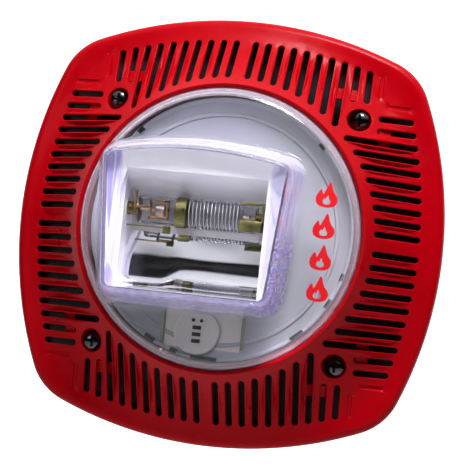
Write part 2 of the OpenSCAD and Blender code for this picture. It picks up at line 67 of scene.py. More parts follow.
def cad_mm(node):
    """Lowest and highest corner of a CAD node, in the wall's axes, in millimetres."""
    lo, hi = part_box(node)
    return (Vector((lo.x, lo.z, -hi.y)) / MM, Vector((hi.x, hi.z, -lo.y)) / MM)


# ---- sizes
PLATE_HI = cad_mm("faceplate")[1]
HALF_W = PLATE_HI.x
SIDE_R = 158.0
CORNER_R = 24.0
SIDE_CENTRE = HALF_W - SIDE_R
WALL_T = 2.5
RIM_FILLET = 3.4
FLAT_Z = 5.9
FLARE = 0.024
FAR_R = 88.4
LIP_Z = PLATE_HI.z
OPENING_R = 55.0
COLLAR_Z = 17.0

SLOT_PITCH = 5.14
SLOT_FIRST = 3.88
SLOT_W = 2.5
SLOT_COUNT = 10
SLOT_REACH = 76.6
SLOT_ARC_R = 178.0
SLOT_INNER_R = OPENING_R + 4.3
SLOT_FILLET = 0.3
BLIND_DEPTH = 0.6
BLIND_NARROWER = 0.45

SCREW_XY = 48.4
RECESS_R = 4.7
SEAT_Z = 10.5
BOSS_R = 7.0
SCREW_HOLE_R = 2.4

LENS_R = 54.6
LENS_FOOT_Z = 18.5
LENS_T = 1.6
DOME_Z = 38.0
SHOULDER_Z = 35.2
SHOULDER_R = 5.5
WINDOW_Z = cad_mm("lens")[1].z
WINDOW_X, WINDOW_Y = -7.5, 0.2
WINDOW_W, WINDOW_H, WINDOW_TAPER = 72.0, 57.6, 4.0
WINDOW_ARCH = 4.5
WINDOW_CORNER = 4.0
LEGEND_COUNT, LEGEND_X, LEGEND_Y = 4, 40.8, -1.6
LEGEND_PITCH, LEGEND_H = 12.0, 9.8
WINDOW_SLOPE = 4.0        # millimetres of depth per millimetre the wall leans out

MIRROR_X, MIRROR_TOP, MIRROR_BOTTOM = 27.2, 19.0, -26.2
MIRROR_MOUTH, MIRROR_BACK, MIRROR_T = 48.5, 31.5, 1.2
MIRROR_LEAN = 0.09        # how far the end walls lean out, per millimetre of depth
FACET_FOLD = (11.5, 37.5)         # (y, z) where the upper facet folds
CHANNEL_TOP, CHANNEL_BOTTOM = 9.5, -4.0
SCOOP_TOP, SCOOP_R, SCOOP_TIGHT = -12.5, 11.5, 6.0
POST_X, POST_Y = (-20, 20), (-2, 7.5)

TUBE_Y, TUBE_Z, TUBE_R, TUBE_HALF = 4.0, 38.2, 5.4, 23.0
TUBE_WALL = 0.8
CAP_R, CAP_LEN = 2.6, 6.0
BAND_FROM, BAND_TO = -8.2, -3.9
COIL_FROM, COIL_TO, COIL_TURNS, COIL_WIRE_R = -3.0, 17.0, 14, 0.2

COVER_HI = cad_mm("strobe_cover")[1]
COVER_R = COVER_HI.x
INDEX_X, INDEX_W = (-19.0, 12.6), 1.4
DIAL_Y, DIAL_R = -40.6, 9.0
DIAL_TOP, DIAL_BOTTOM = -32.9, -49.7    # flats cut across the dial
# (angle in degrees, width) of the black blocks in the cover's rim that paint the shade of its notches
NOTCH_SHADES = ((-92, 10.5), (-48.6, 6.0), (-29, 4.0), (-16, 3.0), (-106, 3.0), (-118, 4.5), (45, 3.0),
           (135, 3.0))

WIRE_R = 0.7
TAG_ANGLE, TAG_R, TAG_Z = 250.0, 45.4, -3.4
BOARD_BACK = -1.6
LEAD_X, LEAD_Y, LEAD_PITCH = -16.5, -51.5, 3.5
HARNESS_X, HARNESS_PITCH, HARNESS_Y = -20.5, 2.0, (-50, -41)
TERMINAL_X, TERMINAL_Y, TERMINAL_PITCH = 10.2, -49.4, 6.35

SECTORS = 12


# ---- outlines and distances
def polar(r, a, cx=0, cy=0):
    return cx + r * math.cos(a), cy + r * math.sin(a)


def arc(cx, cy, r, start, end, count):
    """Points on an arc, angles in degrees, the last one left out."""
    return [polar(r, math.radians(start + (end - start) * k / count), cx, cy) for k in range(count)]


def circle(cx, cy, r, count):
    return arc(cx, cy, r, 0, 360, count)


def turned(points, quarter):
    """Points turned by quarter turns about the centre."""
    c, s = ((1, 0), (0, 1), (-1, 0), (0, -1))[quarter % 4]
    return [(x * c - y * s, x * s + y * c) for x, y in points]


def plate_outline(inset, per_side=30, per_corner=12):
    """Four bulging sides joined by round corners, inset from the rim."""
    corner_angle = math.degrees(math.acos(-SIDE_CENTRE / (SIDE_R - CORNER_R) / math.sqrt(2))) - 45
    c = (SIDE_R - CORNER_R) * math.sin(math.radians(corner_angle))
    points = []
    for quarter in range(4):
        side = arc(SIDE_CENTRE, 0, SIDE_R - inset, -corner_angle, corner_angle, per_side)
        corner = arc(c, c, CORNER_R - inset, corner_angle, 90 - corner_angle, per_corner)
        points += turned(side + corner, quarter)
    return points


def window_outline(grow, per_edge=14):
    """The raised window's face: a round-cornered rectangle with an arched upper side."""
    w, h, r = WINDOW_W + 2 * grow, WINDOW_H + 2 * grow, WINDOW_CORNER + grow
    big = (w * w / 4 + WINDOW_ARCH ** 2) / (2 * WINDOW_ARCH)
    lean = math.degrees(math.asin((w / 2 - r) / (big - r)))
    mid = h / 2 - big
    low = w / 2 - WINDOW_TAPER
    cx = (big - r) * math.sin(math.radians(lean))
    cy = mid + (big - r) * math.cos(math.radians(lean))

    def edge(x0, y0, x1, y1):
        return [(x0 + (x1 - x0) * k / per_edge, y0 + (y1 - y0) * k / per_edge) for k in range(1, per_edge)]

    points = (
        arc(low - r, -h / 2 + r, r, -90, 0, 7)
        + edge(low, -h / 2 + r, w / 2, cy)
        + arc(cx, cy, r, 0, 90 - lean, 7)
        + arc(0, mid, big, 90 - lean, 90 + lean, 2 * per_edge)
        + arc(-cx, cy, r, 90 + lean, 180, 7)
        + edge(-w / 2, cy, -low, -h / 2 + r)
        + arc(-low + r, -h / 2 + r, r, 180, 270, 7)
        + edge(-low + r, -h / 2, low - r, -h / 2)
    )
    return [(x + WINDOW_X, y + WINDOW_Y) for x, y in points]


def to_segment(p, a, b):
    """Distance of each point from the segment between a and b."""
    (ax, ay), (ex, ey) = a, (b[0] - a[0], b[1] - a[1])
    t = np.clip(((p[:, 0] - ax) * ex + (p[:, 1] - ay) * ey) / (ex * ex + ey * ey + 1e-12), 0, 1)
    return np.hypot(p[:, 0] - ax - t * ex, p[:, 1] - ay - t * ey)


def depth_inside(points, outline):
    """Distance of each point from a closed outline, positive inside."""
    p = np.asarray(points, float)
    a = np.asarray(outline, float)
    best = np.full(len(p), 1e9)
    inside = np.zeros(len(p), bool)
    for (ax, ay), (bx, by) in zip(a, np.roll(a, -1, axis=0)):
        best = np.minimum(best, to_segment(p, (ax, ay), (bx, by)))
        crosses = (ay > p[:, 1]) != (by > p[:, 1])
        at = ax + (bx - ax) * (p[:, 1] - ay) / (by - ay if abs(by - ay) > 1e-12 else 1e-12)
        inside ^= crosses & (p[:, 0] < at)
    return np.where(inside, best, -best)


def slot_x(k):
    return SLOT_FIRST + (k - 1) * SLOT_PITCH


def slot_span(k):
    """Inner and outer end of slot k of a group, measured outwards from the lens centre."""
    x = slot_x(k)
    outer = SLOT_REACH - SLOT_ARC_R + math.sqrt(SLOT_ARC_R ** 2 - x * x)
    if k > SLOT_COUNT:
        return SCREW_XY + 10, outer
    if k > SLOT_COUNT - 2:
        return SCREW_XY + 7.2, outer
    return math.sqrt(SLOT_INNER_R ** 2 - x * x), outer


def slot_loop(x, y0, y1, grow, per_end=8):
    """Outline of a round-ended slot, made larger by grow all round."""
    r = SLOT_W / 2
    return arc(x, y1 - r, r + grow, 0, 180, per_end) + [(x - r - grow, y1 - r)] \
        + arc(x, y0 + r, r + grow, 180, 360, per_end) + [(x + r + grow, y0 + r)]


def slot_list():
    """(quarter, x, inner end, outer end, blind) for every slot of the grille."""
    return [
        (quarter, side * slot_x(k), *slot_span(k), k > SLOT_COUNT)
        for quarter in range(4) for side in (-1, 1) for k in range(1, SLOT_COUNT + 2)
    ]


def slot_distance(p, blind):
    """Distance outside the nearest open (or blind) slot, negative within it."""
    best = np.full(len(p), 1e9)
    r = SLOT_W / 2 - (BLIND_NARROWER if blind else 0)
    for quarter, x, y0, y1, is_blind in slot_list():
        if is_blind == blind:
            best = np.minimum(best, to_segment(p, *turned([(x, y0 + r), (x, y1 - r)], quarter)) - r)
    return best


def round_over(distance, radius):
    """How far a rounded edge falls at a distance inside the edge."""
    d = np.clip(distance, 0, radius)
    return radius - np.sqrt(np.maximum(radius ** 2 - (radius - d) ** 2, 0))


# ---- meshes
def new_object(name, data):
    obj = bpy.data.objects.new(name, data)
    bpy.context.scene.collection.objects.link(obj)
    return obj


def shade_by_angle(mesh, degrees=35):
    mesh.shade_smooth()
    mesh.set_sharp_from_angle(angle=math.radians(degrees))


def clean(mesh, weld=None):
    """Faces turned outwards; with a weld distance, doubled points are merged first."""
    bm = bmesh.new()
    bm.from_mesh(mesh)
    if weld:
        bmesh.ops.remove_doubles(bm, verts=bm.verts, dist=weld)
        bmesh.ops.dissolve_degenerate(bm, edges=bm.edges, dist=weld)
    bmesh.ops.recalc_face_normals(bm, faces=bm.faces)
    bm.to_mesh(mesh)
    bm.free()


def mesh_object(name, verts, faces, smooth_angle=35):
    mesh = bpy.data.meshes.new(name)
    mesh.from_pydata(verts, [], faces)
    mesh.validate()
    mesh.update()
    clean(mesh)
    shade_by_angle(mesh, smooth_angle)
    return new_object(name, mesh)


def mesh_of_used(name, verts, faces, smooth_angle=35):
    """A mesh object from only those vertices that a face uses."""
    used = sorted({i for f in faces for i in f})
    index = {i: k for k, i in enumerate(used)}
    faces = [tuple(index[i] for i in f) for f in faces]
    return mesh_object(name, [verts[i] for i in used], faces, smooth_angle)


def open_edges(tris):
    """Edges that only one triangle uses, in its own direction."""
    edges = dict.fromkeys((t[i], t[(i + 1) % 3]) for t in tris for i in range(3))
    return [(a, b) for a, b in edges if (b, a) not in edges]


def sheet_from_loops(loops, fill, keep):
    """Flat triangulation through closed loops and free points: (points, triangles)."""
    points, edges = [], []
    for loop in loops:
        start = len(points)
        points += loop
        edges += [(start + k, start + (k + 1) % len(loop)) for k in range(len(loop))]
    points += fill
    found = delaunay_2d_cdt([Vector(p) for p in points], edges, [], 0, 1e-4)
    flat = np.array([(v.x, v.y) for v in found[0]])
    tris = np.array([f for f in found[2] if len(f) == 3])
    kept = tris[keep(flat[tris].mean(axis=1))]
    return flat, [tuple(t) for t in kept.tolist()]


def two_sided(name, flat, tris, top, bottom):
    """A closed solid between two heights over the same flat triangulation."""
    n = len(flat)
    verts = [wall(x, y, z) for heights in (top, bottom) for (x, y), z in zip(flat, heights)]
    faces = tris + [(c + n, b + n, a + n) for a, b, c in tris]
    faces += [(b, a, a + n, b + n) for a, b in open_edges(tris)]
    return mesh_of_used(name, verts, faces)


def quads(rows, n, closed=False):
    """Faces between rings of n vertices, row by row; closed joins the last row to the first."""
    faces = []
    for k in range(rows if closed else rows - 1):
        a, b = k * n, (k + 1) % rows * n
        faces += [(a + i, a + (i + 1) % n, b + (i + 1) % n, b + i) for i in range(n)]
    return faces


def loft(name, rings, smooth_angle=35):
    """A closed solid through rings of points, its first and last ring filled."""
    rows, n = len(rings), len(rings[0])
    caps = [tuple(reversed(range(n))), tuple(range((rows - 1) * n, rows * n))]
    return mesh_object(name, [v for ring in rings for v in ring], quads(rows, n) + caps, smooth_angle)


def revolve(name, profile, centre=(0, 0), count=96, smooth_angle=30):
    """A closed profile of (radius, z) turned about the z axis."""
    verts = []
    for k in range(count):
        a = 2 * math.pi * k / count
        verts += [wall(*polar(r, a, *centre), z) for r, z in profile]
    obj = mesh_object(name, verts, quads(count, len(profile), closed=True), smooth_angle)
    clean(obj.data, weld=1e-6)
    return obj


def tube(name, path, radius, count=12):
    """A round wire along a path of wall points, radius in millimetres."""
    pts = [Vector(p) for p in path]
    turns = [2 * math.pi * j / count for j in range(count)]
    rings, side = [], None
    for k, p in enumerate(pts):
        d = (pts[min(k + 1, len(pts) - 1)] - pts[max(k - 1, 0)]).normalized()
        if side is None:
            side = d.cross(Vector((0, 0, 1)) if abs(d.z) < 0.9 else Vector((1, 0, 0))).normalized()
        side = (side - d * side.dot(d)).normalized()
        up = d.cross(side)
        rings.append([wall(*(p + radius * (math.cos(a) * side + math.sin(a) * up))) for a in turns])
    return loft(name, rings, 50)


def block(name, lo, hi, bevel=0.3, segments=3):
    """A box between two wall points with rounded edges."""
    (x0, y0, z0), (x1, y1, z1) = lo, hi
    verts = [wall(x, y, z) for z in (z0, z1) for y in (y0, y1) for x in (x0, x1)]
    faces = [(0, 2, 3, 1), (4, 5, 7, 6), (0, 1, 5, 4), (2, 6, 7, 3), (0, 4, 6, 2), (1, 3, 7, 5)]
    obj = mesh_object(name, verts, faces)
    soften(obj, bevel, segments)
    return obj


def soften(obj, width, segments=3, angle=35):
    """Rounded edges as a modifier, width in millimetres."""
    mod = obj.modifiers.new("rounded edges", "BEVEL")
    mod.width = width * MM
    mod.segments = segments
    mod.limit_method = "ANGLE"
    mod.angle_limit = math.radians(angle)
    mod.harden_normals = True
    return obj


def join(name, objs):
    """One object from several, with their modifiers applied."""
    dg = bpy.context.evaluated_depsgraph_get()
    bm = bmesh.new()
    for o in objs:
        mesh = bpy.data.meshes.new_from_object(o.evaluated_get(dg))
        bm.from_mesh(mesh)
        bpy.data.meshes.remove(mesh)
    mesh = bpy.data.meshes.new(name)
    bm.to_mesh(mesh)
    bm.free()
    for o in objs:
        bpy.data.objects.remove(o)
    shade_by_angle(mesh)
    return new_object(name, mesh)


# ---- materials
class Nodes:
    """The node tree of a new material or world, with short ways to add nodes."""

    def __init__(self, name, kind=bpy.data.materials, shader="Principled BSDF", space="Object"):
        self.owner = kind.new(name)
        self.owner.use_nodes = True
        self.tree = self.owner.node_tree
        self.shader = self.tree.nodes[shader]
        self.where = self.add("ShaderNodeTexCoord").outputs[space]

    def fill(self, node, inputs):
        """Gives each input of a node a value, or links it to the socket that feeds it."""
        for key, value in inputs.items():
            socket = node.inputs[key]
            if isinstance(value, bpy.types.NodeSocket):
                self.tree.links.new(value, socket)
            else:
                socket.default_value = (*value, 1) if socket.type == "RGBA" else value

    def add(self, kind, inputs=None, **settings):
        """A new node with its settings made and its inputs filled."""
        node = self.tree.nodes.new(kind)
        for key, value in settings.items():
            setattr(node, key, value)
        self.fill(node, inputs or {})
        return node

    def set(self, **inputs):
        """Fills inputs of the shader, each named with _ in place of a space."""
        self.fill(self.shader, {key.replace("_", " "): value for key, value in inputs.items()})

    def noise(self, scale, detail=3.0, roughness=0.5, stretch=None):
        """Noise in object space; scale is features per metre."""
        place = self.where
        if stretch:
            place = self.add("ShaderNodeMapping", {"Vector": place, "Scale": stretch}).outputs["Vector"]
        inputs = {"Vector": place, "Scale": scale, "Detail": detail, "Roughness": roughness}
        return self.add("ShaderNodeTexNoise", inputs).outputs["Fac"]

    def ramp(self, source, low, high, start=0.3, end=0.7):
        """Maps a value to a range or a pair of colours."""
        if isinstance(low, (int, float)):
            inputs = {"Value": source, "From Min": start, "From Max": end, "To Min": low, "To Max": high}
            return self.add("ShaderNodeMapRange", inputs).outputs["Result"]
        node = self.add("ShaderNodeValToRGB", {"Fac": source})
        for element, place, colour in zip(node.color_ramp.elements, (start, end), (low, high)):
            element.position = place
            element.color = (*colour, 1)
        return node.outputs["Color"]

    def mix(self, factor, a, b):
        return self.add("ShaderNodeMix", {"Factor": factor, 6: a, 7: b}, data_type="RGBA").outputs[2]

    def maths(self, operation, a, b):
        return self.add("ShaderNodeMath", {0: a, 1: b}, operation=operation).outputs[0]

    def bump(self, height, strength, distance, onto=None):
        inputs = {"Height": height, "Strength": strength, "Distance": distance}
        if onto:
            inputs["Normal"] = onto
        return self.add("ShaderNodeBump", inputs).outputs["Normal"]

    def edges(self, width=0.0007):
        """Near 1 along edges, 0 elsewhere: where a rounded normal differs from the true one."""
        rounded = self.add("ShaderNodeBevel", {"Radius": width}, samples=4).outputs["Normal"]
        true = self.add("ShaderNodeNewGeometry").outputs["Normal"]
        dot = self.add("ShaderNodeVectorMath", {0: rounded, 1: true}, operation="DOT_PRODUCT")
        return self.ramp(dot.outputs["Value"], 1.0, 0.0, 0.90, 0.99)


def shade(colour, factor):
    """A colour made darker or lighter."""
    return tuple(min(1, c * factor) for c in colour)


def plastic(name, colour, roughness=0.3, vary=0.12, grain=900, grain_strength=0.15, coat=0.0, wear_and_edge_highlight=None,
            specular=0.5, painted_reflection_tint=None):
    """Moulded plastic: slight random colour variation, fine texture, uneven gloss, optional blotches of a
    second tint that are painted reflections, and edges lightened by rubbed wear and a painted edge
    highlight.
    """
    n = Nodes(name)
    base = n.ramp(n.noise(35, 4), shade(colour, 1 - vary), shade(colour, 1 + vary))
    if painted_reflection_tint:
        # Painted reflections: low noise lays blotches of the second tint over the base colour.
        base = n.mix(n.ramp(n.noise(11, 1), 0.0, 1.0, 0.4, 0.6), base, painted_reflection_tint)
    if wear_and_edge_highlight:
        # Edges lightened all round: partly rubbed wear, partly a painted edge highlight.
        base = n.mix(n.edges(), base, wear_and_edge_highlight)
    n.set(Base_Color=base, Roughness=n.ramp(n.noise(120, 5), roughness * 0.8, roughness * 1.25),
          Normal=n.bump(n.noise(grain, 2), grain_strength, 0.0002),
          Coat_Weight=coat, Coat_Roughness=0.06, Specular_IOR_Level=specular)
    return n.owner


def metal(name, colour, roughness=0.3, brushed=None, tarnish=0.15, grain_strength=0.1):
    """Metal with fine scratches, uneven roughness and a little tarnish."""
    n = Nodes(name)
    fine = n.noise(600, 4, 0.6, brushed)
    n.set(Base_Color=n.ramp(n.noise(60, 6, 0.6), shade(colour, 1 - tarnish), colour), Metallic=1.0,
          Roughness=n.ramp(fine, roughness * 0.7, roughness * 1.4),
          Normal=n.bump(fine, grain_strength, 0.0001))
    return n.owner


def circuit_board(name, resist, track):
    """Green solder resist with the raised copper tracks showing through it."""
    n = Nodes(name)
    facing = n.add("ShaderNodeMapping", {"Vector": n.where, "Rotation": (math.pi / 2, 0, 0)})
    pattern = {"Vector": facing.outputs["Vector"], "Scale": 260, "Mortar Size": 0.05, "Mortar Smooth": 0.2}
    tracks = n.add("ShaderNodeTexBrick", pattern, offset=0.35, squash=0.6).outputs["Fac"]
    base = n.mix(tracks, n.ramp(n.noise(90, 4), shade(resist, 0.8), resist), track)
    n.set(Base_Color=base, Roughness=n.ramp(n.noise(150, 4), 0.18, 0.32), Normal=n.bump(tracks, 0.6, 0.0001))
    return n.owner


def mirror(name, colour):
    """Vacuum-metallised plastic: bright, with the slow ripple of a moulding under it."""
    n = Nodes(name)
    n.set(Base_Color=n.ramp(n.noise(60, 4), shade(colour, 0.94), colour), Metallic=1.0,
          Roughness=n.ramp(n.noise(200, 3), 0.03, 0.09),
          Normal=n.bump(n.noise(32, 1, 0.4, (0.8, 1, 1)), 0.6, 0.004))
    return n.owner


def satin(name, colour, metallic=0.2, roughness=(0.3, 0.5), streaks=None):
    """Frosted bright metal with fine lines along the trough; streaks tint it beside the trough."""
    n = Nodes(name)
    base = n.ramp(n.noise(80, 4), shade(colour, 0.93), colour)
    if streaks:
        x0, x1 = (WINDOW_X - MIRROR_X) * MM, (WINDOW_X + MIRROR_X) * MM
        x = n.add("ShaderNodeSeparateXYZ", {0: n.where}).outputs["X"]
        left = n.ramp(x, 1.0, 0.0, x0 - 0.0028, x0 + 0.0007)
        lines = n.ramp(n.noise(480, 2, 0.5, (1, 1, 0.05)), 0.0, 1.0, 0.42, 0.56)
        base = n.mix(n.maths("MULTIPLY", left, lines), base, streaks)
        right = n.ramp(x, 0.0, 1.0, x1 + 0.0003, x1 + 0.0018)
        base = n.mix(right, base, tuple(0.5 + 0.5 * c for c in streaks))
    fine = n.noise(500, 3, 0.6, (0.05, 1, 1))
    n.set(Base_Color=base, Roughness=n.ramp(fine, *roughness), Metallic=metallic,
          Normal=n.bump(fine, 0.25, 0.0003))
    return n.owner


def frosted_wall(name, low, high):
    """Side wall of the window: violet plastic in streaks, with a painted violet glow, and whiter and less
    clear along the upper side as a painted highlight.
    """
    n = Nodes(name)
    place = n.add("ShaderNodeSeparateXYZ", {0: n.where}).outputs
    # Painted highlight: the upper wall is made whiter and less clear, as where light from above catches it.
    upper = n.ramp(place["Z"], 0.0, 1.0, 0.022, 0.027)
    right = n.ramp(place["X"], 0.0, 1.0, 0.015, 0.022)
    lower = n.maths("MULTIPLY", n.ramp(place["Z"], 1.0, 0.0, -0.008, 0.002), right)
    streak = n.noise(420, 2, 0.5, (1, 1, 0.06))
    stipple = n.add("ShaderNodeTexVoronoi", {"Vector": n.where, "Scale": 620}).outputs["Distance"]
    rough = n.maths("MULTIPLY", n.ramp(stipple, 1.0, 0.0, 0.28, 0.46), lower)
    tint = n.mix(rough, n.ramp(streak, low, high, 0.38, 0.62), (0.40, 0.32, 1.0))
    solid = n.maths("MAXIMUM", rough, n.ramp(upper, 0.0, 0.32, 0.0, 1.0))
    # A faint violet glow is painted in as emission: the plastic is no lamp, and the glow stands in for light
    # piped through the wall.
    n.set(Base_Color=n.mix(upper, tint, (0.96, 0.96, 1.0)), Roughness=n.ramp(streak, 0.02, 0.2),
          Normal=n.bump(streak, 0.3, 0.001, n.bump(rough, 1.0, 0.002)),
          Transmission_Weight=n.ramp(solid, 0.80, 0.15, 0.0, 1.0), IOR=1.35,
          Emission_Color=(0.5, 0.42, 1.0), Emission_Strength=0.04)
    return n.owner


def clear(name, colour, roughness=0.02, ior=1.5, through=1.0):
    """Clear plastic or glass that lets light through to what is behind it."""
    n = Nodes(name)
    n.set(Base_Color=colour, Transmission_Weight=through, IOR=ior,
          Roughness=n.ramp(n.noise(90, 4), roughness * 0.6, roughness * 1.6),
          Normal=n.bump(n.noise(40, 2), 0.04, 0.002))
    passing = n.add("ShaderNodeBsdfTransparent", {"Color": tuple(c ** 0.5 for c in colour)})
    shadow = n.add("ShaderNodeLightPath").outputs["Is Shadow Ray"]
    mixer = n.add("ShaderNodeMixShader", {0: shadow, 1: n.shader.outputs[0], 2: passing.outputs[0]})
    n.fill(n.tree.nodes["Material Output"], {"Surface": mixer.outputs[0]})
    return n.owner


BY_SLOT = {
    # Where given, the lightened edges are rubbed wear and a painted edge highlight.
    "red_plastic": plastic("red_gloss", (0.38, 0.0, 0.004), 0.3, vary=0.06, grain=1400, grain_strength=0.06,
        coat=0.02, wear_and_edge_highlight=(0.46, 0.003, 0.008), specular=0.06),
    "black_screw": metal("black_oxide", (0.10, 0.10, 0.11), 0.16),
    "clear_lens": clear("clear_polycarbonate", (0.95, 0.955, 1.0), ior=1.34),
    # The darker grey-green blotches on the cover are painted reflections.
    "grey_cover": plastic("cover_grey", (0.44, 0.455, 0.50), 0.35, grain_strength=0.1,
        painted_reflection_tint=(0.37, 0.40, 0.385)),
    "reflector_metal": mirror("metallised", (0.93, 0.93, 0.95)),
    "tube_glass": clear("tube_glass", (0.97, 0.98, 1.0), 0.01, ior=1.2),
    "tube_metal": metal("tube_cap", (0.26, 0.205, 0.085), 0.3, tarnish=0.5),
    "silicone": plastic("silicone", (0.75, 0.73, 0.68), 0.5),
    "nickel_wire": metal("nickel_wire", (0.62, 0.62, 0.61), 0.5),
    "board_green": circuit_board("solder_resist", (0.015, 0.10, 0.035), (0.03, 0.20, 0.07)),
    "capacitor_sleeve": plastic("sleeve", (0.02, 0.035, 0.06), 0.25),
    "black_plastic": plastic("black_moulding", (0.018, 0.018, 0.02), 0.42, grain=1200, grain_strength=0.4,
        wear_and_edge_highlight=(0.08, 0.08, 0.085)),
    "ferrite": plastic("ferrite", (0.05, 0.05, 0.055), 0.55, grain=500, grain_strength=0.5),
    "zinc_steel": metal("zinc_plate", (0.62, 0.61, 0.57), 0.32, tarnish=0.25),
    "basket_paint": plastic("basket_paint", (0.03, 0.03, 0.033), 0.35, grain_strength=0.3, wear_and_edge_highlight=(0.2, 0.2,
        0.2)),
    "foam": plastic("foam", (0.025, 0.025, 0.027), 0.9, grain=700, grain_strength=1.0),
    "surround_rubber": plastic("surround_rubber", (0.02, 0.02, 0.022), 0.6, grain_strength=0.3),
    "cone_paper": plastic("cone_pulp", (0.03, 0.03, 0.034), 0.75, grain=400, grain_strength=0.8),
    "former_paper": plastic("kraft", (0.42, 0.27, 0.13), 0.7),
    "copper_wire": metal("copper_wire", (0.75, 0.3, 0.12), 0.3, brushed=(1, 30, 1)),
    "spider_cloth": plastic("spider_cloth", (0.5, 0.33, 0.1), 0.8, grain=800, grain_strength=1.0),
    "phenolic": plastic("phenolic", (0.2, 0.09, 0.03), 0.4),
    "terminal_plastic": plastic("terminal_body", (0.012, 0.05, 0.025), 0.3),
    "plated_brass": metal("plated_brass", (0.72, 0.58, 0.3), 0.3),
    "ivory_plastic": plastic("ivory", (0.72, 0.69, 0.6), 0.4),
    "white_plastic": plastic("white", (0.72, 0.69, 0.64), 0.4, vary=0.06),
    "red_wire": plastic("red_wire", (0.45, 0.015, 0.015), 0.35),
}
SLOT_OF = {s["node"]: s["material_slot"] for s in frame["record"]["subparts"]}

LENS_EDGE = clear("polycarbonate_edge", (0.90, 0.88, 0.96), 0.06, ior=1.34, through=0.87)
SOLDER = metal("solder", (0.66, 0.66, 0.66), 0.25, tarnish=0.3)
LENS_WALL = frosted_wall("lens_wall", (0.72, 0.67, 1.0), (0.97, 0.96, 1.0))
# Frosted white for the flange and end walls; on the trough's upper mirror facet the same white is a painted
# reflection.
FROSTED_AND_PAINTED_REFLECTION = satin("frosted_metal_and_painted_reflection", (0.96, 0.96, 0.98), streaks=(0.45, 0.40, 0.72))
CHANNEL = satin("brushed_metal", (0.96, 0.95, 0.94), metallic=0.42, roughness=(0.1, 0.2))
ELECTRODE = metal("electrode", (0.70, 0.56, 0.44), 0.45, tarnish=0.3)
OLIVE = metal("olive_band", (0.25, 0.23, 0.085), 0.35, tarnish=0.3)
COPPER_CLIP = metal("copper_clip", (0.40, 0.25, 0.14), 0.3, tarnish=0.35)
CREAM = plastic("label_cream", (0.70, 0.68, 0.62), 0.4, vary=0.10)
RIB = plastic("index_rib", (0.30, 0.32, 0.22), 0.4)
INK = plastic("mark_ink", (0.05, 0.05, 0.06), 0.5)
LEGEND = plastic("legend_ink", (0.75, 0.01, 0.015), 0.35, vary=0.05)


def finish_piece(obj, *nodes, body="base", material=None):
    """Gives a piece the material and slot of the CAD node it replaces, and its body."""
    slot = SLOT_OF[nodes[0]] if nodes else None
    obj.data.materials.clear()
    obj.data.materials.append(material or BY_SLOT[slot])
    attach(obj, body)
    if nodes:
        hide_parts(*nodes)
    return obj


for node_name, node_obj in frame["nodes"].items():
    node_obj.data.materials.clear()
    node_obj.data.materials.append(BY_SLOT[SLOT_OF[node_name]])


# ---- faceplate
def face_height(r):
    return np.minimum(LIP_Z, FLAT_Z + FLARE * np.maximum(0, FAR_R - r) ** 2)


def corners(d):
    return [(sx * d, sy * d) for sx in (-1, 1) for sy in (-1, 1)]


def screw_distance(p):
    return np.min([np.hypot(p[:, 0] - x, p[:, 1] - y) for x, y in corners(SCREW_XY)], axis=0)


def plate_heights(p):
    r = np.hypot(p[:, 0], p[:, 1])
    inset = depth_inside(p, plate_outline(0))
    open_d, blind_d, screw_d = slot_distance(p, False), slot_distance(p, True), screw_distance(p)
    face = face_height(r)
    drop = round_over(inset, RIM_FILLET)
    drop = np.maximum(drop, round_over(open_d, SLOT_FILLET))
    drop = np.maximum(drop, round_over(r - OPENING_R, 1.3))
    drop = np.maximum(drop, round_over(screw_d - RECESS_R, SLOT_FILLET))
    sunk = np.clip(0.5 - blind_d / 0.5, 0, 1)
    drop = np.maximum(drop, BLIND_DEPTH * sunk * sunk * (3 - 2 * sunk))
    top = np.where(screw_d < RECESS_R - 0.01, SEAT_Z, face - drop)
    bottom = np.where(inset < WALL_T, 0, face - WALL_T - 0.4)
    bottom = np.where(r < OPENING_R + WALL_T, COLLAR_Z, bottom)
    bottom = np.where(screw_d < BOSS_R, 2.6, bottom)
    return top, bottom


def build_faceplate():
    loops = [plate_outline(i) for i in (0, 0.12, 0.5, 1.1, 1.9, WALL_T - 0.02, WALL_T + 0.02, RIM_FILLET)]
    wall_loops = (0, 0.1, 0.4, 0.9, 1.4, WALL_T - 0.02, WALL_T + 0.02)
    loops += [circle(0, 0, OPENING_R + d, 200) for d in wall_loops]
    for x, y in corners(SCREW_XY):
        for r in (SCREW_HOLE_R, RECESS_R - 0.02, RECESS_R, RECESS_R + 0.1, RECESS_R + SLOT_FILLET,
                  BOSS_R - 0.02, BOSS_R + 0.02):
            loops.append(circle(x, y, r, 40))
    for quarter, x, y0, y1, blind in slot_list():
        edge = -BLIND_NARROWER
        for grow in ((edge - 0.25, edge, edge + 0.25) if blind else (0, 0.08, 0.2, SLOT_FILLET)):
            loops.append(turned(slot_loop(x, y0, y1, grow), quarter))
    fill = []
    for ring in range(28):
        r = OPENING_R + 3.6 + ring * 1.6
        count = int(2 * math.pi * r / 2.2)
        fill += circle(0, 0, r, count)
    fill = np.array(fill)
    clear_of = (
        (depth_inside(fill, plate_outline(0)) > RIM_FILLET + 0.8)
        & (slot_distance(fill, False) > SLOT_FILLET + 0.35)
        & (slot_distance(fill, True) > 0.7)
        & (np.abs(screw_distance(fill) - BOSS_R) > 0.5)
        & (screw_distance(fill) > RECESS_R + 1)
    )
    fill = [tuple(p) for p in fill[clear_of]]
    outline = plate_outline(0)

    def keep(c):
        return (
            (depth_inside(c, outline) > 0)
            & (np.hypot(c[:, 0], c[:, 1]) > OPENING_R * math.cos(math.pi / 200) - 0.001)
            & (slot_distance(c, False) > -0.02)
            & (screw_distance(c) > SCREW_HOLE_R * math.cos(math.pi / 40))
        )

    flat, tris = sheet_from_loops(loops, fill, keep)
    top, bottom = plate_heights(flat)
    return finish_piece(two_sided("faceplate_shell", flat, tris, top, bottom), "faceplate")


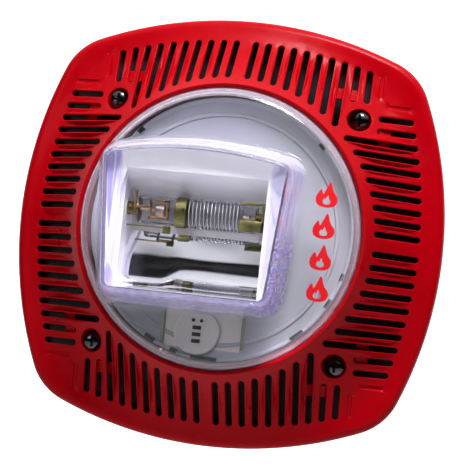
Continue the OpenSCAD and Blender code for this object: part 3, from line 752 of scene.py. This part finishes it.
def build_tie_ribs():
    """Ribs behind the grille bars beside each screw boss."""
    parts = []
    for quarter in range(4):
        for side in (-1, 1):
            x0, x1, y0, y1 = side * 42.6 - 5.2, side * 42.6 + 5.2, SCREW_XY + 8, SCREW_XY + 12.4
            loop = turned([(x0, y0), (x1, y0), (x1, y1), (x0, y1)], quarter)
            fill = turned([(x0 + 2.6 * i, y0 + 1.1 * j) for i in range(1, 4) for j in range(1, 4)], quarter)
            flat, tris = sheet_from_loops([loop], fill, lambda c: depth_inside(c, loop) > 0)
            face = face_height(np.hypot(flat[:, 0], flat[:, 1]))
            parts.append(two_sided("rib", flat, tris, face - 1.6, face - 5))
    return finish_piece(join("grille_tie_ribs", parts), material=BY_SLOT["red_plastic"])


build_faceplate()
build_tie_ribs()


# ---- lens
def smooth_min(a, b, k):
    h = np.clip(0.5 + 0.5 * (b - a) / k, 0, 1)
    return b + (a - b) * h - k * h * (1 - h)


def dome_height(r):
    """Height of the round lens without its window."""
    flat_r = LENS_R - SHOULDER_R
    dome = SHOULDER_Z + (DOME_Z - SHOULDER_Z) * (1 - np.clip(r / flat_r, 0, 1) ** 2)
    over = np.clip(r - flat_r, 0, SHOULDER_R)
    return dome - (SHOULDER_R - np.sqrt(np.maximum(SHOULDER_R ** 2 - over ** 2, 0)))


def lens_height(p):
    outside = -depth_inside(p, window_outline(0))
    block_z = smooth_min(np.full(len(p), WINDOW_Z), WINDOW_Z - WINDOW_SLOPE * outside, 5.0)
    dome = dome_height(np.hypot(p[:, 0], p[:, 1]))
    return -smooth_min(-dome, -block_z, 1.6)


WALL_SLOT, EDGE_SLOT = 1, 2


def build_lens():
    window_steps = (-3, -1.25, -0.9, -0.6, -0.3, 0, 0.3, 0.6, 0.9, 1.25, 1.8, 2.4, 3.0, 3.5, 3.9, 4.3, 4.7,
                    5.2, 6.0)
    loops = [window_outline(g) for g in window_steps]
    loops += [circle(0, 0, LENS_R - d, 144) for d in (0, 0.03, 0.15, 0.4, 0.9, 1.7, 2.8, 4.2, 5.5, 6.5)]
    fill = [q for k in range(1, 25) for q in circle(0, 0, 2.0 * k, int(2 * math.pi * k))]
    near = depth_inside(np.array(fill), window_outline(0))
    fill = [p for p, d in zip(fill, near) if d > 4 or d < -7]

    def keep(c):
        return np.hypot(c[:, 0], c[:, 1]) < LENS_R

    flat, tris = sheet_from_loops(loops, fill, keep)
    verts = [wall(x, y, z) for (x, y), z in zip(flat, lens_height(flat))]
    foot = {}
    walls = []
    for a, b in open_edges(tris):
        for i in (a, b):
            if i not in foot:
                foot[i] = len(verts)
                verts.append(wall(*flat[i], LENS_FOOT_Z))
        walls.append((b, a, foot[a], foot[b]))
    obj = mesh_of_used("lens_shell", verts, tris + walls, 60)
    shell = obj.modifiers.new("wall", "SOLIDIFY")
    shell.thickness = LENS_T * MM
    shell.offset = -1
    finish_piece(obj, "lens")
    obj.data.materials.append(LENS_WALL)
    obj.data.materials.append(LENS_EDGE)
    for face in obj.data.polygons:
        at = face.center / MM
        height, steep = -at.y, abs(face.normal.y) < 0.55
        if steep and DOME_Z + 0.8 < height < WINDOW_Z - 1.2:
            face.material_index = WALL_SLOT
        elif height < SHOULDER_Z and math.hypot(at.x, at.z) > LENS_R - SHOULDER_R * 0.55:
            face.material_index = EDGE_SLOT
    return obj


def build_notch_shade_blocks():
    """Black blocks in the rim of the cover, under the edge of the lens: painted shade where the notches lie.
    """
    parts = []
    for angle, width in NOTCH_SHADES:
        part = block("notch", (COVER_R - 2.1, -width / 2, COVER_HI.z - 0.6),
                     (COVER_R - 0.2, width / 2, COVER_HI.z + 0.5), 0.15)
        part.data.transform(Matrix.Rotation(math.radians(-angle), 4, "Y"))
        parts.append(part)
    return finish_piece(join("cover_notch_shade", parts), material=BY_SLOT["black_plastic"])


FLAME = ((0.0, -0.5), (0.34, -0.40), (0.42, -0.12), (0.24, 0.14), (0.10, 0.5), (-0.06, 0.20), (-0.16, 0.02),
         (-0.24, 0.20), (-0.42, -0.12), (-0.34, -0.40))


def flame_outline(height, steps=5):
    """A plain two-tongued flame: a smooth closed curve through a few points."""
    n = len(FLAME)
    points = []
    for k in range(n):
        p0, p1, p2, p3 = (Vector(FLAME[(k + j) % n]) for j in (-1, 0, 1, 2))
        for step in range(steps):
            t = step / steps
            q = 0.5 * (2 * p1 + (p2 - p0) * t + (2 * p0 - 5 * p1 + 4 * p2 - p3) * t * t
                       + (3 * p1 - p0 - 3 * p2 + p3) * t ** 3)
            points.append((q.x * height, q.y * height))
    return points


def build_legend():
    """Flame marks in a column on the lens, beside the window."""
    parts = []
    for k in range(LEGEND_COUNT):
        y = LEGEND_Y + LEGEND_PITCH * ((LEGEND_COUNT - 1) / 2 - k)
        outer = [(LEGEND_X + u, y + v) for u, v in flame_outline(LEGEND_H)]
        inner = [(LEGEND_X + 0.36 * u, y - 0.20 * LEGEND_H + 0.36 * v) for u, v in flame_outline(LEGEND_H)]

        def keep(c):
            return (depth_inside(c, outer) > 0) & (depth_inside(c, inner) < 0)

        flat, tris = sheet_from_loops([outer, inner], [], keep)
        base = lens_height(flat)
        parts.append(two_sided("mark", flat, tris, base + 0.12, base - 0.02))
    return finish_piece(join("lens_legend", parts), material=LEGEND)


build_lens()
build_legend()


# ---- reflector and flash tube
def turned_out(a, b):
    d = Vector((b[0] - a[0], b[1] - a[1])).normalized()
    return Vector((-d.y, d.x))


def offset_line(line, t):
    """An open line of (y, z) points moved to its outer side by t."""
    out = []
    for k, p in enumerate(line):
        a = turned_out(line[max(k, 1) - 1], line[max(k, 1)])
        b = turned_out(line[min(k, len(line) - 2)], line[min(k + 1, len(line) - 1)])
        m = (a + b).normalized()
        out.append((p[0] + m.x * t / m.dot(a), p[1] + m.y * t / m.dot(a)))
    return out


def extrude_x(name, section, x0, x1):
    """A closed (y, z) section drawn out along x."""
    return loft(name, [[wall(x, y, z) for y, z in section] for x in (x0, x1)], 25)


def scoop_radius(x):
    """The scoop's corner is tighter at the left end of the trough, where its floor is flat for longer."""
    t = min(1, max(0, (x - WINDOW_X + 0.45 * MIRROR_X) / (0.3 * MIRROR_X)))
    return SCOOP_TIGHT + (SCOOP_R - 0.5 - SCOOP_TIGHT) * t * t * (3 - 2 * t)


def trough_line(x):
    """Section of the trough at x, from its upper lip to its lower one."""
    r, floor = scoop_radius(x), MIRROR_MOUTH - SCOOP_R
    scoop = [
        (MIRROR_BOTTOM + r * (1 - math.sin(a)), floor + r * (1 - math.cos(a)))
        for a in (math.pi / 2 * k / 24 for k in range(25))
    ]
    channel = [(CHANNEL_TOP, MIRROR_BACK), (CHANNEL_BOTTOM, MIRROR_BACK), (SCOOP_TOP, floor)]
    return [(MIRROR_TOP, MIRROR_MOUTH), FACET_FOLD] + channel + scoop + [(MIRROR_BOTTOM, MIRROR_MOUTH)]


def trough_shell(x0, x1, count=24):
    """The trough's wall, drawn out along x through sections that change slowly."""
    rings = []
    for k in range(count + 1):
        x = x0 + (x1 - x0) * k / count
        line = trough_line(x)
        outer = offset_line(line, MIRROR_T)
        outer[0] = (outer[0][0], MIRROR_MOUTH)
        outer[-1] = (outer[-1][0], MIRROR_MOUTH)
        rings.append([wall(x, y, z) for y, z in line + outer[::-1]])
    return loft("shell", rings, 25)


def reflector_ends(x0, x1):
    """End walls of the trough, leaning out a little towards the mouth."""
    ends = []
    for x, way in ((x0, -1), (x1, 1)):
        end = extrude_x("end", trough_line(x), min(x, x + way * MIRROR_T), max(x, x + way * MIRROR_T))
        for v in end.data.vertices:
            v.co.x += way * MIRROR_LEAN * (-v.co.y - (MIRROR_BACK + 6) * MM)
        ends.append(end)
    return ends


def reflector_flange():
    """The flat flange round the mouth, which fills the window."""
    w, y0, y1, r = MIRROR_X - 0.2, MIRROR_BOTTOM + 0.2, MIRROR_TOP - 0.2, 0.6
    mouth = (arc(WINDOW_X + w - r, y0 + r, r, -90, 0, 6) + arc(WINDOW_X + w - r, y1 - r, r, 0, 90, 6)
             + arc(WINDOW_X - w + r, y1 - r, r, 90, 180, 6) + arc(WINDOW_X - w + r, y0 + r, r, 180, 270, 6))
    flat, tris = sheet_from_loops([window_outline(-1.0), mouth], [], lambda c: depth_inside(c, mouth) < 0)
    n = len(flat)
    rim = two_sided("rim", flat, tris, np.full(n, MIRROR_MOUTH + 0.1), np.full(n, MIRROR_MOUTH - 1.1))
    return soften(rim, 0.3)


FROSTED_AND_REFLECTION_SLOT, CHANNEL_SLOT = 1, 2


def build_reflector():
    x0, x1 = WINDOW_X - MIRROR_X, WINDOW_X + MIRROR_X
    shell = trough_shell(x0 - MIRROR_T, x1 + MIRROR_T)
    posts = [revolve("post", [(0, 21.9), (1.7, 21.9), (1.5, MIRROR_BACK - 0.5), (0, MIRROR_BACK - 0.5)],
                     (WINDOW_X + x, y), 24) for x in POST_X for y in POST_Y]
    parts = [shell, reflector_flange()] + reflector_ends(x0, x1) + posts
    trough = finish_piece(join("reflector_trough", parts), "reflector")
    trough.data.materials.append(FROSTED_AND_PAINTED_REFLECTION)
    trough.data.materials.append(CHANNEL)
    for face in trough.data.polygons:
        at = face.center / MM
        along, end_wall = abs(face.normal.x) < 0.5, abs(face.normal.x) > 0.9
        # The upper facet is mirror, drawn in the frosted white: its whiteness is a painted reflection.
        upper_facet = at.z > CHANNEL_TOP + 0.1 and along
        flange = -at.y > MIRROR_MOUTH - 1.3 and abs(face.normal.y) > 0.9
        if upper_facet or flange or end_wall:
            face.material_index = FROSTED_AND_REFLECTION_SLOT
        elif at.z > CHANNEL_BOTTOM - 0.2 and along:
            face.material_index = CHANNEL_SLOT
    return trough


def along_x(obj, x, y, z):
    """Lays a part made round the wall's z axis along x, and puts it in place."""
    obj.data.transform(Matrix.Rotation(math.radians(90), 4, "Z"))
    obj.data.transform(Matrix.Translation(wall(x, y, z)))
    return obj


def ring_x(name, r_out, r_in, x0, x1, lip=0.15):
    """A ring or ferrule round the tube's axis with eased edges."""
    h = x1 - x0
    profile = [(r_in, 0), (r_out - lip, 0), (r_out, lip), (r_out, h - lip), (r_out - lip, h), (r_in, h)]
    return along_x(revolve(name, profile, count=48), x0, TUBE_Y, TUBE_Z)


def build_flash_tube():
    x0, x1 = WINDOW_X - TUBE_HALF, WINDOW_X + TUBE_HALF
    finish_piece(ring_x("flash_tube_glass", TUBE_R, TUBE_R - TUBE_WALL, x0, x1, 0.5), "flash_tube")
    plug_r = TUBE_R - TUBE_WALL - 0.05
    caps = [(CAP_R, 0, x0 - CAP_LEN, x0 + 0.7, 0.4), (plug_r, 0, x0, x0 + 0.6, 0.1),
            (CAP_R, 0, x1 - 0.7, x1 + CAP_LEN, 0.4), (plug_r, 0, x1 - 0.6, x1, 0.1)]
    finish_piece(join("flash_tube_caps", [ring_x("cap", *row) for row in caps]), "tube_caps")
    inner = [(0.7, 0, x0 + 0.6, x0 + 7, 0.1), (2.4, 0, x0 + 6.5, x0 + 10.5, 0.5),
             (0.7, 0, x1 - 3, x1 - 0.6, 0.1), (1.6, 0, x1 - 5.5, x1 - 2.5, 0.4)]
    finish_piece(join("flash_tube_electrodes", [ring_x("rod", *row) for row in inner]), material=ELECTRODE)
    band = ring_x("trigger_band", TUBE_R + 0.5, TUBE_R + 0.02, WINDOW_X + BAND_FROM, WINDOW_X + BAND_TO, 0.2)
    finish_piece(band, material=OLIVE)
    build_tube_clips(x0, x1)
    build_trigger_winding()


# Boxes of the stamped clips: (x0, y0, x1, y1, z), x from the end of the glass, y from the tube's axis,
# z from the front of the glass.
CLIP_LEFT = ((5, 2.8, 13, 3.8, 0), (5, -3.8, 13, -2.8, 0), (5, -3.8, 6.2, 3.8, 0), (11.8, -3.8, 13, 3.8, 0),
             (-0.9, -1.0, 0.1, 7.0, 0), (-0.4, 0.2, 5.4, 1.2, 0))
CLIP_FOOT = ((-3.6, -6.8, 12, -6.3, -3), (10.5, -8.8, 13.6, -5.8, -3))
CLIP_RIGHT = ((-6, -5.1, 3.6, -0.9, 0), (-6, 5.0, 3.6, 6.0, 0), (2.4, -5.1, 3.6, 6.0, 0))


def build_tube_clips(x0, x1):
    """Stamped clips that hold both ends of the tube."""
    front = TUBE_Z + TUBE_R + 0.3
    for name, end, boxes, material in (("tube_clip_left", x0, CLIP_LEFT, COPPER_CLIP),
                                       ("tube_foot", x0, CLIP_FOOT, OLIVE),
                                       ("tube_clip_right", x1, CLIP_RIGHT, OLIVE)):
        clip = [
            block("clip", (end + u0, TUBE_Y + v0, front + h), (end + u1, TUBE_Y + v1, front + 0.8 + h), 0.2)
            for u0, v0, u1, v1, h in boxes
        ]
        finish_piece(join(name, clip), material=material)


def build_trigger_winding():
    """Bare wire wound on the glass."""
    r, steps = TUBE_R + COIL_WIRE_R, COIL_TURNS * 32
    path = []
    for k in range(steps + 1):
        a = 2 * math.pi * COIL_TURNS * k / steps
        x = WINDOW_X + COIL_FROM + (COIL_TO - COIL_FROM) * k / steps
        path.append((x, *polar(r, a, TUBE_Y, TUBE_Z)))
    finish_piece(tube("trigger_winding", path, COIL_WIRE_R, 6), "trigger_wire")


build_reflector()
build_flash_tube()


# ---- inner cover, dial
def build_cover():
    """The light disc behind the lens, with a raised rim and a shallow moulded ring."""
    z = COVER_HI.z - 0.8
    rim = [(COVER_R, z - 2), (COVER_R, z + 0.9), (COVER_R - 0.4, z + 1.2), (COVER_R - 1.0, z + 1.2),
           (COVER_R - 1.5, z + 0.7), (COVER_R - 2.2, z)]
    ring = [(46.0, z), (45.6, z + 0.5), (44.6, z + 0.5), (44.2, z)]
    profile = [(0, z - 2)] + rim + ring + [(0, z)]
    finish_piece(revolve("strobe_cover_disc", profile, count=160), "strobe_cover")
    half = INDEX_W / 2
    ribs = [block("rib", (x - half, -46, z - 0.2), (x + half, -32, z + 0.8), 0.25) for x in INDEX_X]
    finish_piece(join("dial_index_ribs", ribs), material=RIB)
    # A cream label under the dial, edged by the two index ribs.
    left, right = INDEX_X
    label = block("dial_label", (left + 0.8, -47.0, z - 0.05), (right - 0.8, -27.0, z + 0.12), 0.05)
    finish_piece(label, material=CREAM)


def build_dial():
    """Round dial of the light-output slider with plain bars and dots for marks, and its knob at the back."""
    lo, hi = cad_mm("slider")
    cx, cy, r, z = (lo.x + hi.x) / 2, DIAL_Y, DIAL_R, hi.z
    profile = [(0, z - 1.2), (r, z - 1.2), (r, z - 0.3), (r - 0.3, z), (r - 1.2, z), (r - 1.5, z - 0.2),
               (0, z - 0.2)]
    disc = revolve("dial", profile, (cx, cy), 64)
    for v in disc.data.vertices:
        v.co.z = min(max(v.co.z, DIAL_BOTTOM * MM), DIAL_TOP * MM)
    stem = block("stem", (cx - 1.2, -49.8, -2.0), (cx + 1.2, -47.4, z - 1.0), 0.2)
    knob = [block("knob", (cx - 2.6, -51, -5.1), (cx + 2.6, -47, -2.1), 0.4)]
    for k in range(5):
        x = cx - 2.2 + 1.1 * k
        knob.append(block("grip", (x - 0.25, -51, -5.5), (x + 0.25, -47, -4.9), 0.15))
    finish_piece(join("light_output_slider", [disc, stem] + knob), "slider", body="light_selector")
    marks = [block("bar", (cx - 1.7, cy + y - 0.75, z - 0.25), (cx + 1.7, cy + y + 0.75, z + 0.02), 0.05)
             for y in (-3.6, -1.0, 1.6)]
    marks += [revolve("dot", [(0, z - 0.25), (0.7, z - 0.25), (0.7, z + 0.02), (0, z + 0.02)],
                      (cx + x, cy + 4.4), 16) for x in (-1.6, 1.6)]
    finish_piece(join("dial_marks", marks), body="light_selector", material=INK)


build_cover()
build_notch_shade_blocks()
build_dial()


# ---- screws
def screw(name, x, y, seat, head_r, head_h, shank_r, tip, pitch, up):
    """A pan-head cross-recess screw, its head towards +z when up is 1. Thread drawn as close ridges."""
    steps = 10
    head = [(head_r * math.sin(math.pi / 2 * k / steps) ** 0.8, head_h * math.cos(math.pi / 2 * k / steps))
            for k in range(steps + 1)]
    profile = [(r, seat + up * h) for r, h in head]
    profile[0] = (0, seat + up * head_h)
    profile += [(head_r, seat + up * 0.02), (shank_r, seat)]
    z, depth = seat - up * 0.8, 0.22 * pitch
    while up * (z - tip) > pitch:
        profile += [(shank_r, z), (shank_r - depth, z - up * pitch * 0.5)]
        z -= up * pitch
    profile += [(shank_r - depth, tip + up * 0.5), (shank_r * 0.55, tip), (0, tip)]
    return revolve(name, profile, (x, y), 40, 40)


def cross_recess(x, y, top, size, depth, up=1):
    """Cutter for a cross recess: two crossed tapered bars."""
    parts = []
    for turn in (0, 90):
        c, s = math.cos(math.radians(turn)), math.sin(math.radians(turn))
        verts = []
        ends = ((top + up * 0.5, size, size * 0.2), (top - up * depth, size * 0.35, size * 0.12))
        for z, half, thick in ends:
            for u, v in ((-half, -thick), (half, -thick), (half, thick), (-half, thick)):
                verts.append(wall(x + u * c - v * s, y + u * s + v * c, z))
        faces = [(0, 1, 2, 3), (7, 6, 5, 4), (0, 4, 5, 1), (1, 5, 6, 2), (2, 6, 7, 3), (3, 7, 4, 0)]
        parts.append(mesh_object("cutter", verts, faces))
    return parts


def cut(obj, cutters):
    """Subtracts closed cutters from an object."""
    for cutter in cutters:
        mod = obj.modifiers.new("cut", "BOOLEAN")
        mod.operation = "DIFFERENCE"
        mod.solver = "EXACT"
        mod.object = cutter
        dg = bpy.context.evaluated_depsgraph_get()
        mesh = bpy.data.meshes.new_from_object(obj.evaluated_get(dg))
        obj.modifiers.clear()
        old = obj.data
        obj.data = mesh
        bpy.data.meshes.remove(old)
        bpy.data.objects.remove(cutter)
    shade_by_angle(obj.data)
    return obj


def build_screws(node, spots, head_r, head_h, shank_r, pitch, up, drive):
    """A set of equal screws, heads towards +z when up is 1; drive(x, y, top) gives the slot's cutters."""
    lo, hi = cad_mm(node)
    top, tip = (hi.z, lo.z) if up > 0 else (lo.z, hi.z)
    parts = []
    for x, y in spots:
        part = screw("screw", x, y, top - up * head_h, head_r, head_h, shank_r, tip, pitch, up)
        parts.append(cut(part, drive(x, y, top)))
    return finish_piece(join(f"{node[:-1]}_set", parts), node)


def groove(x, y, top):
    return [block("groove", (x - 2.9, y - 0.35, top - 0.5), (x + 2.9, y + 0.35, top + 0.6), 0.05)]


# Where the two rear sets stand: the outer edge of the set less the radius of a head.
STACK_XY = cad_mm("stack_screws")[1].x - 2.7
PLATE_AT = cad_mm("plate_screws")[1].x - 2.6
build_screws("mounting_screws", corners(SCREW_XY), head_r=4.1, head_h=3.0, shank_r=2.08, pitch=0.8, up=1,
             drive=lambda x, y, top: cross_recess(x, y, top, 2.5, 1.9))
build_screws("stack_screws", corners(STACK_XY), head_r=2.7, head_h=2.0, shank_r=1.45, pitch=0.6, up=-1,
             drive=lambda x, y, top: cross_recess(x, y, top, 1.7, 1.3, up=-1))
build_screws("plate_screws", [turned([(PLATE_AT, 0)], k)[0] for k in range(4)], head_r=2.6, head_h=1.2,
             shank_r=1.1, pitch=0.6, up=-1, drive=groove)


# ---- wires and rear parts
def tag_end(side):
    c, s = math.cos(math.radians(TAG_ANGLE)), math.sin(math.radians(TAG_ANGLE))
    return Vector((TAG_R * c - side * 3 * s, TAG_R * s + side * 3 * c, TAG_Z))


def wire_loop(a, b, sag, count=28):
    """Leaves a straight backwards, bows out and comes straight down on b."""
    path = [a]
    for k in range(count + 1):
        t = k / count
        path.append(a.lerp(b, t) + Vector((0, 0, -1.2 - sag * math.sin(math.pi * t))))
    return path + [b]


def wire_rise(a, b, count=24, lead=0.8):
    """A smooth S from a up to b, upright at both ends."""
    path = [a]
    for k in range(count + 1):
        t = k / count
        s = t * t * (3 - 2 * t)
        place = a.lerp(b, s)
        place.z = a.z + lead + (b.z - a.z - 2 * lead) * t
        path.append(place)
    return path + [b]


def solder(x, y, z, way, r=1.1, h=0.7):
    """A cone of solder with a hollow flank, standing on z."""
    profile = [(0, z), (r, z), (r * 0.7, z + way * h * 0.25), (r * 0.5, z + way * h), (0, z + way * h)]
    return revolve("joint", profile, (x, y), 24, 60)


def build_wires():
    board_z = cad_mm("strobe_board")[0].z
    leads, joints = [], []
    for side in (-1, 1):
        start, end = tag_end(side), Vector((LEAD_X + LEAD_PITCH * side, LEAD_Y, BOARD_BACK))
        leads.append(tube("lead", wire_loop(start, end, 2.5), WIRE_R, 16))
        joints.append(solder(end.x, end.y, BOARD_BACK, -1))
        joints.append(solder(start.x, start.y, TAG_Z, -1, 0.95, 0.6))
    finish_piece(join("driver_lead_pair", leads), "driver_leads")
    risers = []
    for k in range(4):
        x = HARNESS_X + HARNESS_PITCH * k
        low, high = Vector((x, HARNESS_Y[0], 0)), Vector((x, HARNESS_Y[1], board_z))
        risers.append(tube("riser", wire_rise(low, high), WIRE_R, 16))
        joints.append(solder(x, HARNESS_Y[0], BOARD_BACK, -1, 0.8, 0.5))
    finish_piece(join("board_harness_wires", risers), "board_harness")
    for k in range(4):
        joints.append(solder(TERMINAL_X + TERMINAL_PITCH * k, TERMINAL_Y, BOARD_BACK, -1, 0.8, 0.4))
    finish_piece(join("solder_joints", joints), material=SOLDER)


def surround_profile():
    angles = [math.pi * k / 16 for k in range(17)]
    roll = [(36 + 2.6 * math.cos(a), 0.5 + 2.2 * math.sin(a)) for a in angles]
    under = [(36 + 2.2 * math.cos(a), 1.8 * math.sin(a)) for a in angles[::-1]]
    return [(40.2, 0), (40.2, 0.5)] + roll + [(33.0, 0.5), (31.6, 0.5), (31.6, 0.01), (33.8, 0.01)] + under


def spider_profile():
    z, waves, steps = -13.6, 4, 64
    r = [8.25 + (22.2 - 8.25) * k / steps for k in range(steps + 1)]
    wave = [0.6 * math.sin(2 * math.pi * waves * k / steps) for k in range(steps + 1)]
    top = [(a, z + 0.5 - w) for a, w in zip(r, wave)]
    return top + [(25.4, z + 0.5), (25.4, z), (22.6, z)] + [(a, z - w) for a, w in zip(r[::-1], wave[::-1])]


def build_flexing_ring(node, profile):
    """The ring between the fixed rim and the moving diaphragm, which flexes in the speaker, built in equal
    sectors.
    """
    steps = 8
    for k in range(SECTORS):
        a0 = 2 * math.pi * k / SECTORS
        angles = [a0 + 2 * math.pi * j / SECTORS / steps for j in range(steps + 1)]
        rings = [[wall(*polar(r, a), z) for r, z in profile] for a in angles]
        obj = loft(f"{node}_sector_{k + 1:02d}", rings)
        obj.data.materials.append(BY_SLOT[SLOT_OF[node]])
        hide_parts(node)
        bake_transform(obj)


# Width in millimetres of the rounded edges on the nodes that keep their CAD shape.
EASED = {
    0.1: ("wire_clamps", "terminal_board", "strobe_board", "board_parts"), 0.12: ("tag_strip",),
    0.15: ("terminal_screws", "tone_switch_rotor", "tube_grommets"), 0.25: ("driver_basket",),
    0.3: ("terminal_block", "tone_switch_body", "trigger_transformer", "boost_inductor", "rim_gasket"),
    0.35: ("chassis",), 0.4: ("top_plate",), 0.5: ("magnet", "yoke"), 0.6: ("flash_capacitor",),
}


def ease_edges():
    for width, names in EASED.items():
        for name in names:
            obj = frame["nodes"][name]
            weld = obj.modifiers.new("weld", "WELD")
            weld.merge_threshold = 1e-6
            soften(obj, width, 2)


build_wires()
build_flexing_ring("surround", surround_profile())
build_flexing_ring("spider", spider_profile())
ease_edges()


# ---- light, floor, camera
def area_light(name, place, target, size, power, colour=(1, 1, 1)):
    data = bpy.data.lights.new(name, "AREA")
    data.energy = power
    data.color = colour
    data.shape = "SQUARE"
    data.size = size
    obj = new_object(name, data)
    obj.location = place
    obj.rotation_mode = "QUATERNION"
    obj.rotation_quaternion = (Vector(target) - Vector(place)).to_track_quat("-Z", "Y")
    return obj


def build_world():
    """Soft studio surroundings: bright above, dim below and in front."""
    n = Nodes("studio", bpy.data.worlds, "Background", "Generated")
    up = n.add("ShaderNodeSeparateXYZ", {0: n.where}).outputs["Z"]
    height = n.add("ShaderNodeMapRange", {"Value": up, "From Min": -1}).outputs["Result"]
    ramp = n.add("ShaderNodeValToRGB", {"Fac": height})
    elements = ramp.color_ramp.elements
    for place, grey in ((0.0, 0.01), (0.36, 0.01), (0.71, 0.005), (0.79, 0.80), (1.0, 1.0)):
        element = elements[-1] if place == 1 else elements[0] if place == 0 else elements.new(place)
        element.color = (grey, grey, grey, 1)
    n.set(Color=ramp.outputs["Color"])
    bpy.context.scene.world = n.owner


def sheet(name, side, near, far):
    """A flat sheet from -side to side along x, between two (y, z) edges."""
    return mesh_object(name, [(-side, *near), (side, *near), (side, *far), (-side, *far)], [(0, 1, 2, 3)])


def build_stage():
    bpy.context.scene.view_settings.view_transform = "Standard"
    build_world()
    side, low, back, high = 3, -0.75, 1.6, 3
    floor = sheet("floor", side, (-side, low), (back, low))
    pale = Nodes("pale_floor")
    pale.set(Base_Color=pale.ramp(pale.noise(3, 3), (0.62, 0.62, 0.62), (0.66, 0.66, 0.66)), Roughness=0.8)
    floor.data.materials.append(pale.owner)
    backdrop = sheet("backdrop", side, (back, low), (back, high))
    glow = Nodes("white_backdrop")
    glow.set(Base_Color=(0.9, 0.9, 0.9), Emission_Color=(1, 1, 1), Emission_Strength=0.95, Roughness=0.9)
    backdrop.data.materials.append(glow.owner)
    area_light("key", (0.16, -0.42, 0.78), (0.0, 0, 0.02), 0.30, 12, (1.0, 0.93, 1.0))
    area_light("fill", (-0.7, -0.9, 0.15), (0, 0, 0), 0.5, 1.6)


def build_camera():
    """The view of the photograph: a little from the right and below, the part turned clockwise."""
    azimuth, elevation, roll = 8.2, -2.9, 6.1
    distance, focal_px, image = 0.731, 1854.5, 474
    target = Vector((0, -0.015, 0))
    offset_x, offset_y = 12.5, 6.2      # how far the target sits left of and above the middle
    a, e = math.radians(azimuth), math.radians(elevation)
    back = Vector((math.sin(a) * math.cos(e), -math.cos(a) * math.cos(e), math.sin(e)))
    data = bpy.data.cameras.new("camera")
    data.sensor_width = 36
    data.lens = 36 * focal_px / image
    data.shift_x = offset_x / image
    data.shift_y = -offset_y / image
    data.clip_start, data.clip_end = 0.01, 20
    cam = new_object("camera", data)
    cam.rotation_mode = "QUATERNION"
    turn = Matrix.Rotation(math.radians(roll), 4, "Z").to_quaternion()
    cam.rotation_quaternion = (-back).to_track_quat("-Z", "Y") @ turn
    cam.location = target + back * distance
    bpy.context.scene.camera = cam


build_stage()
build_camera()
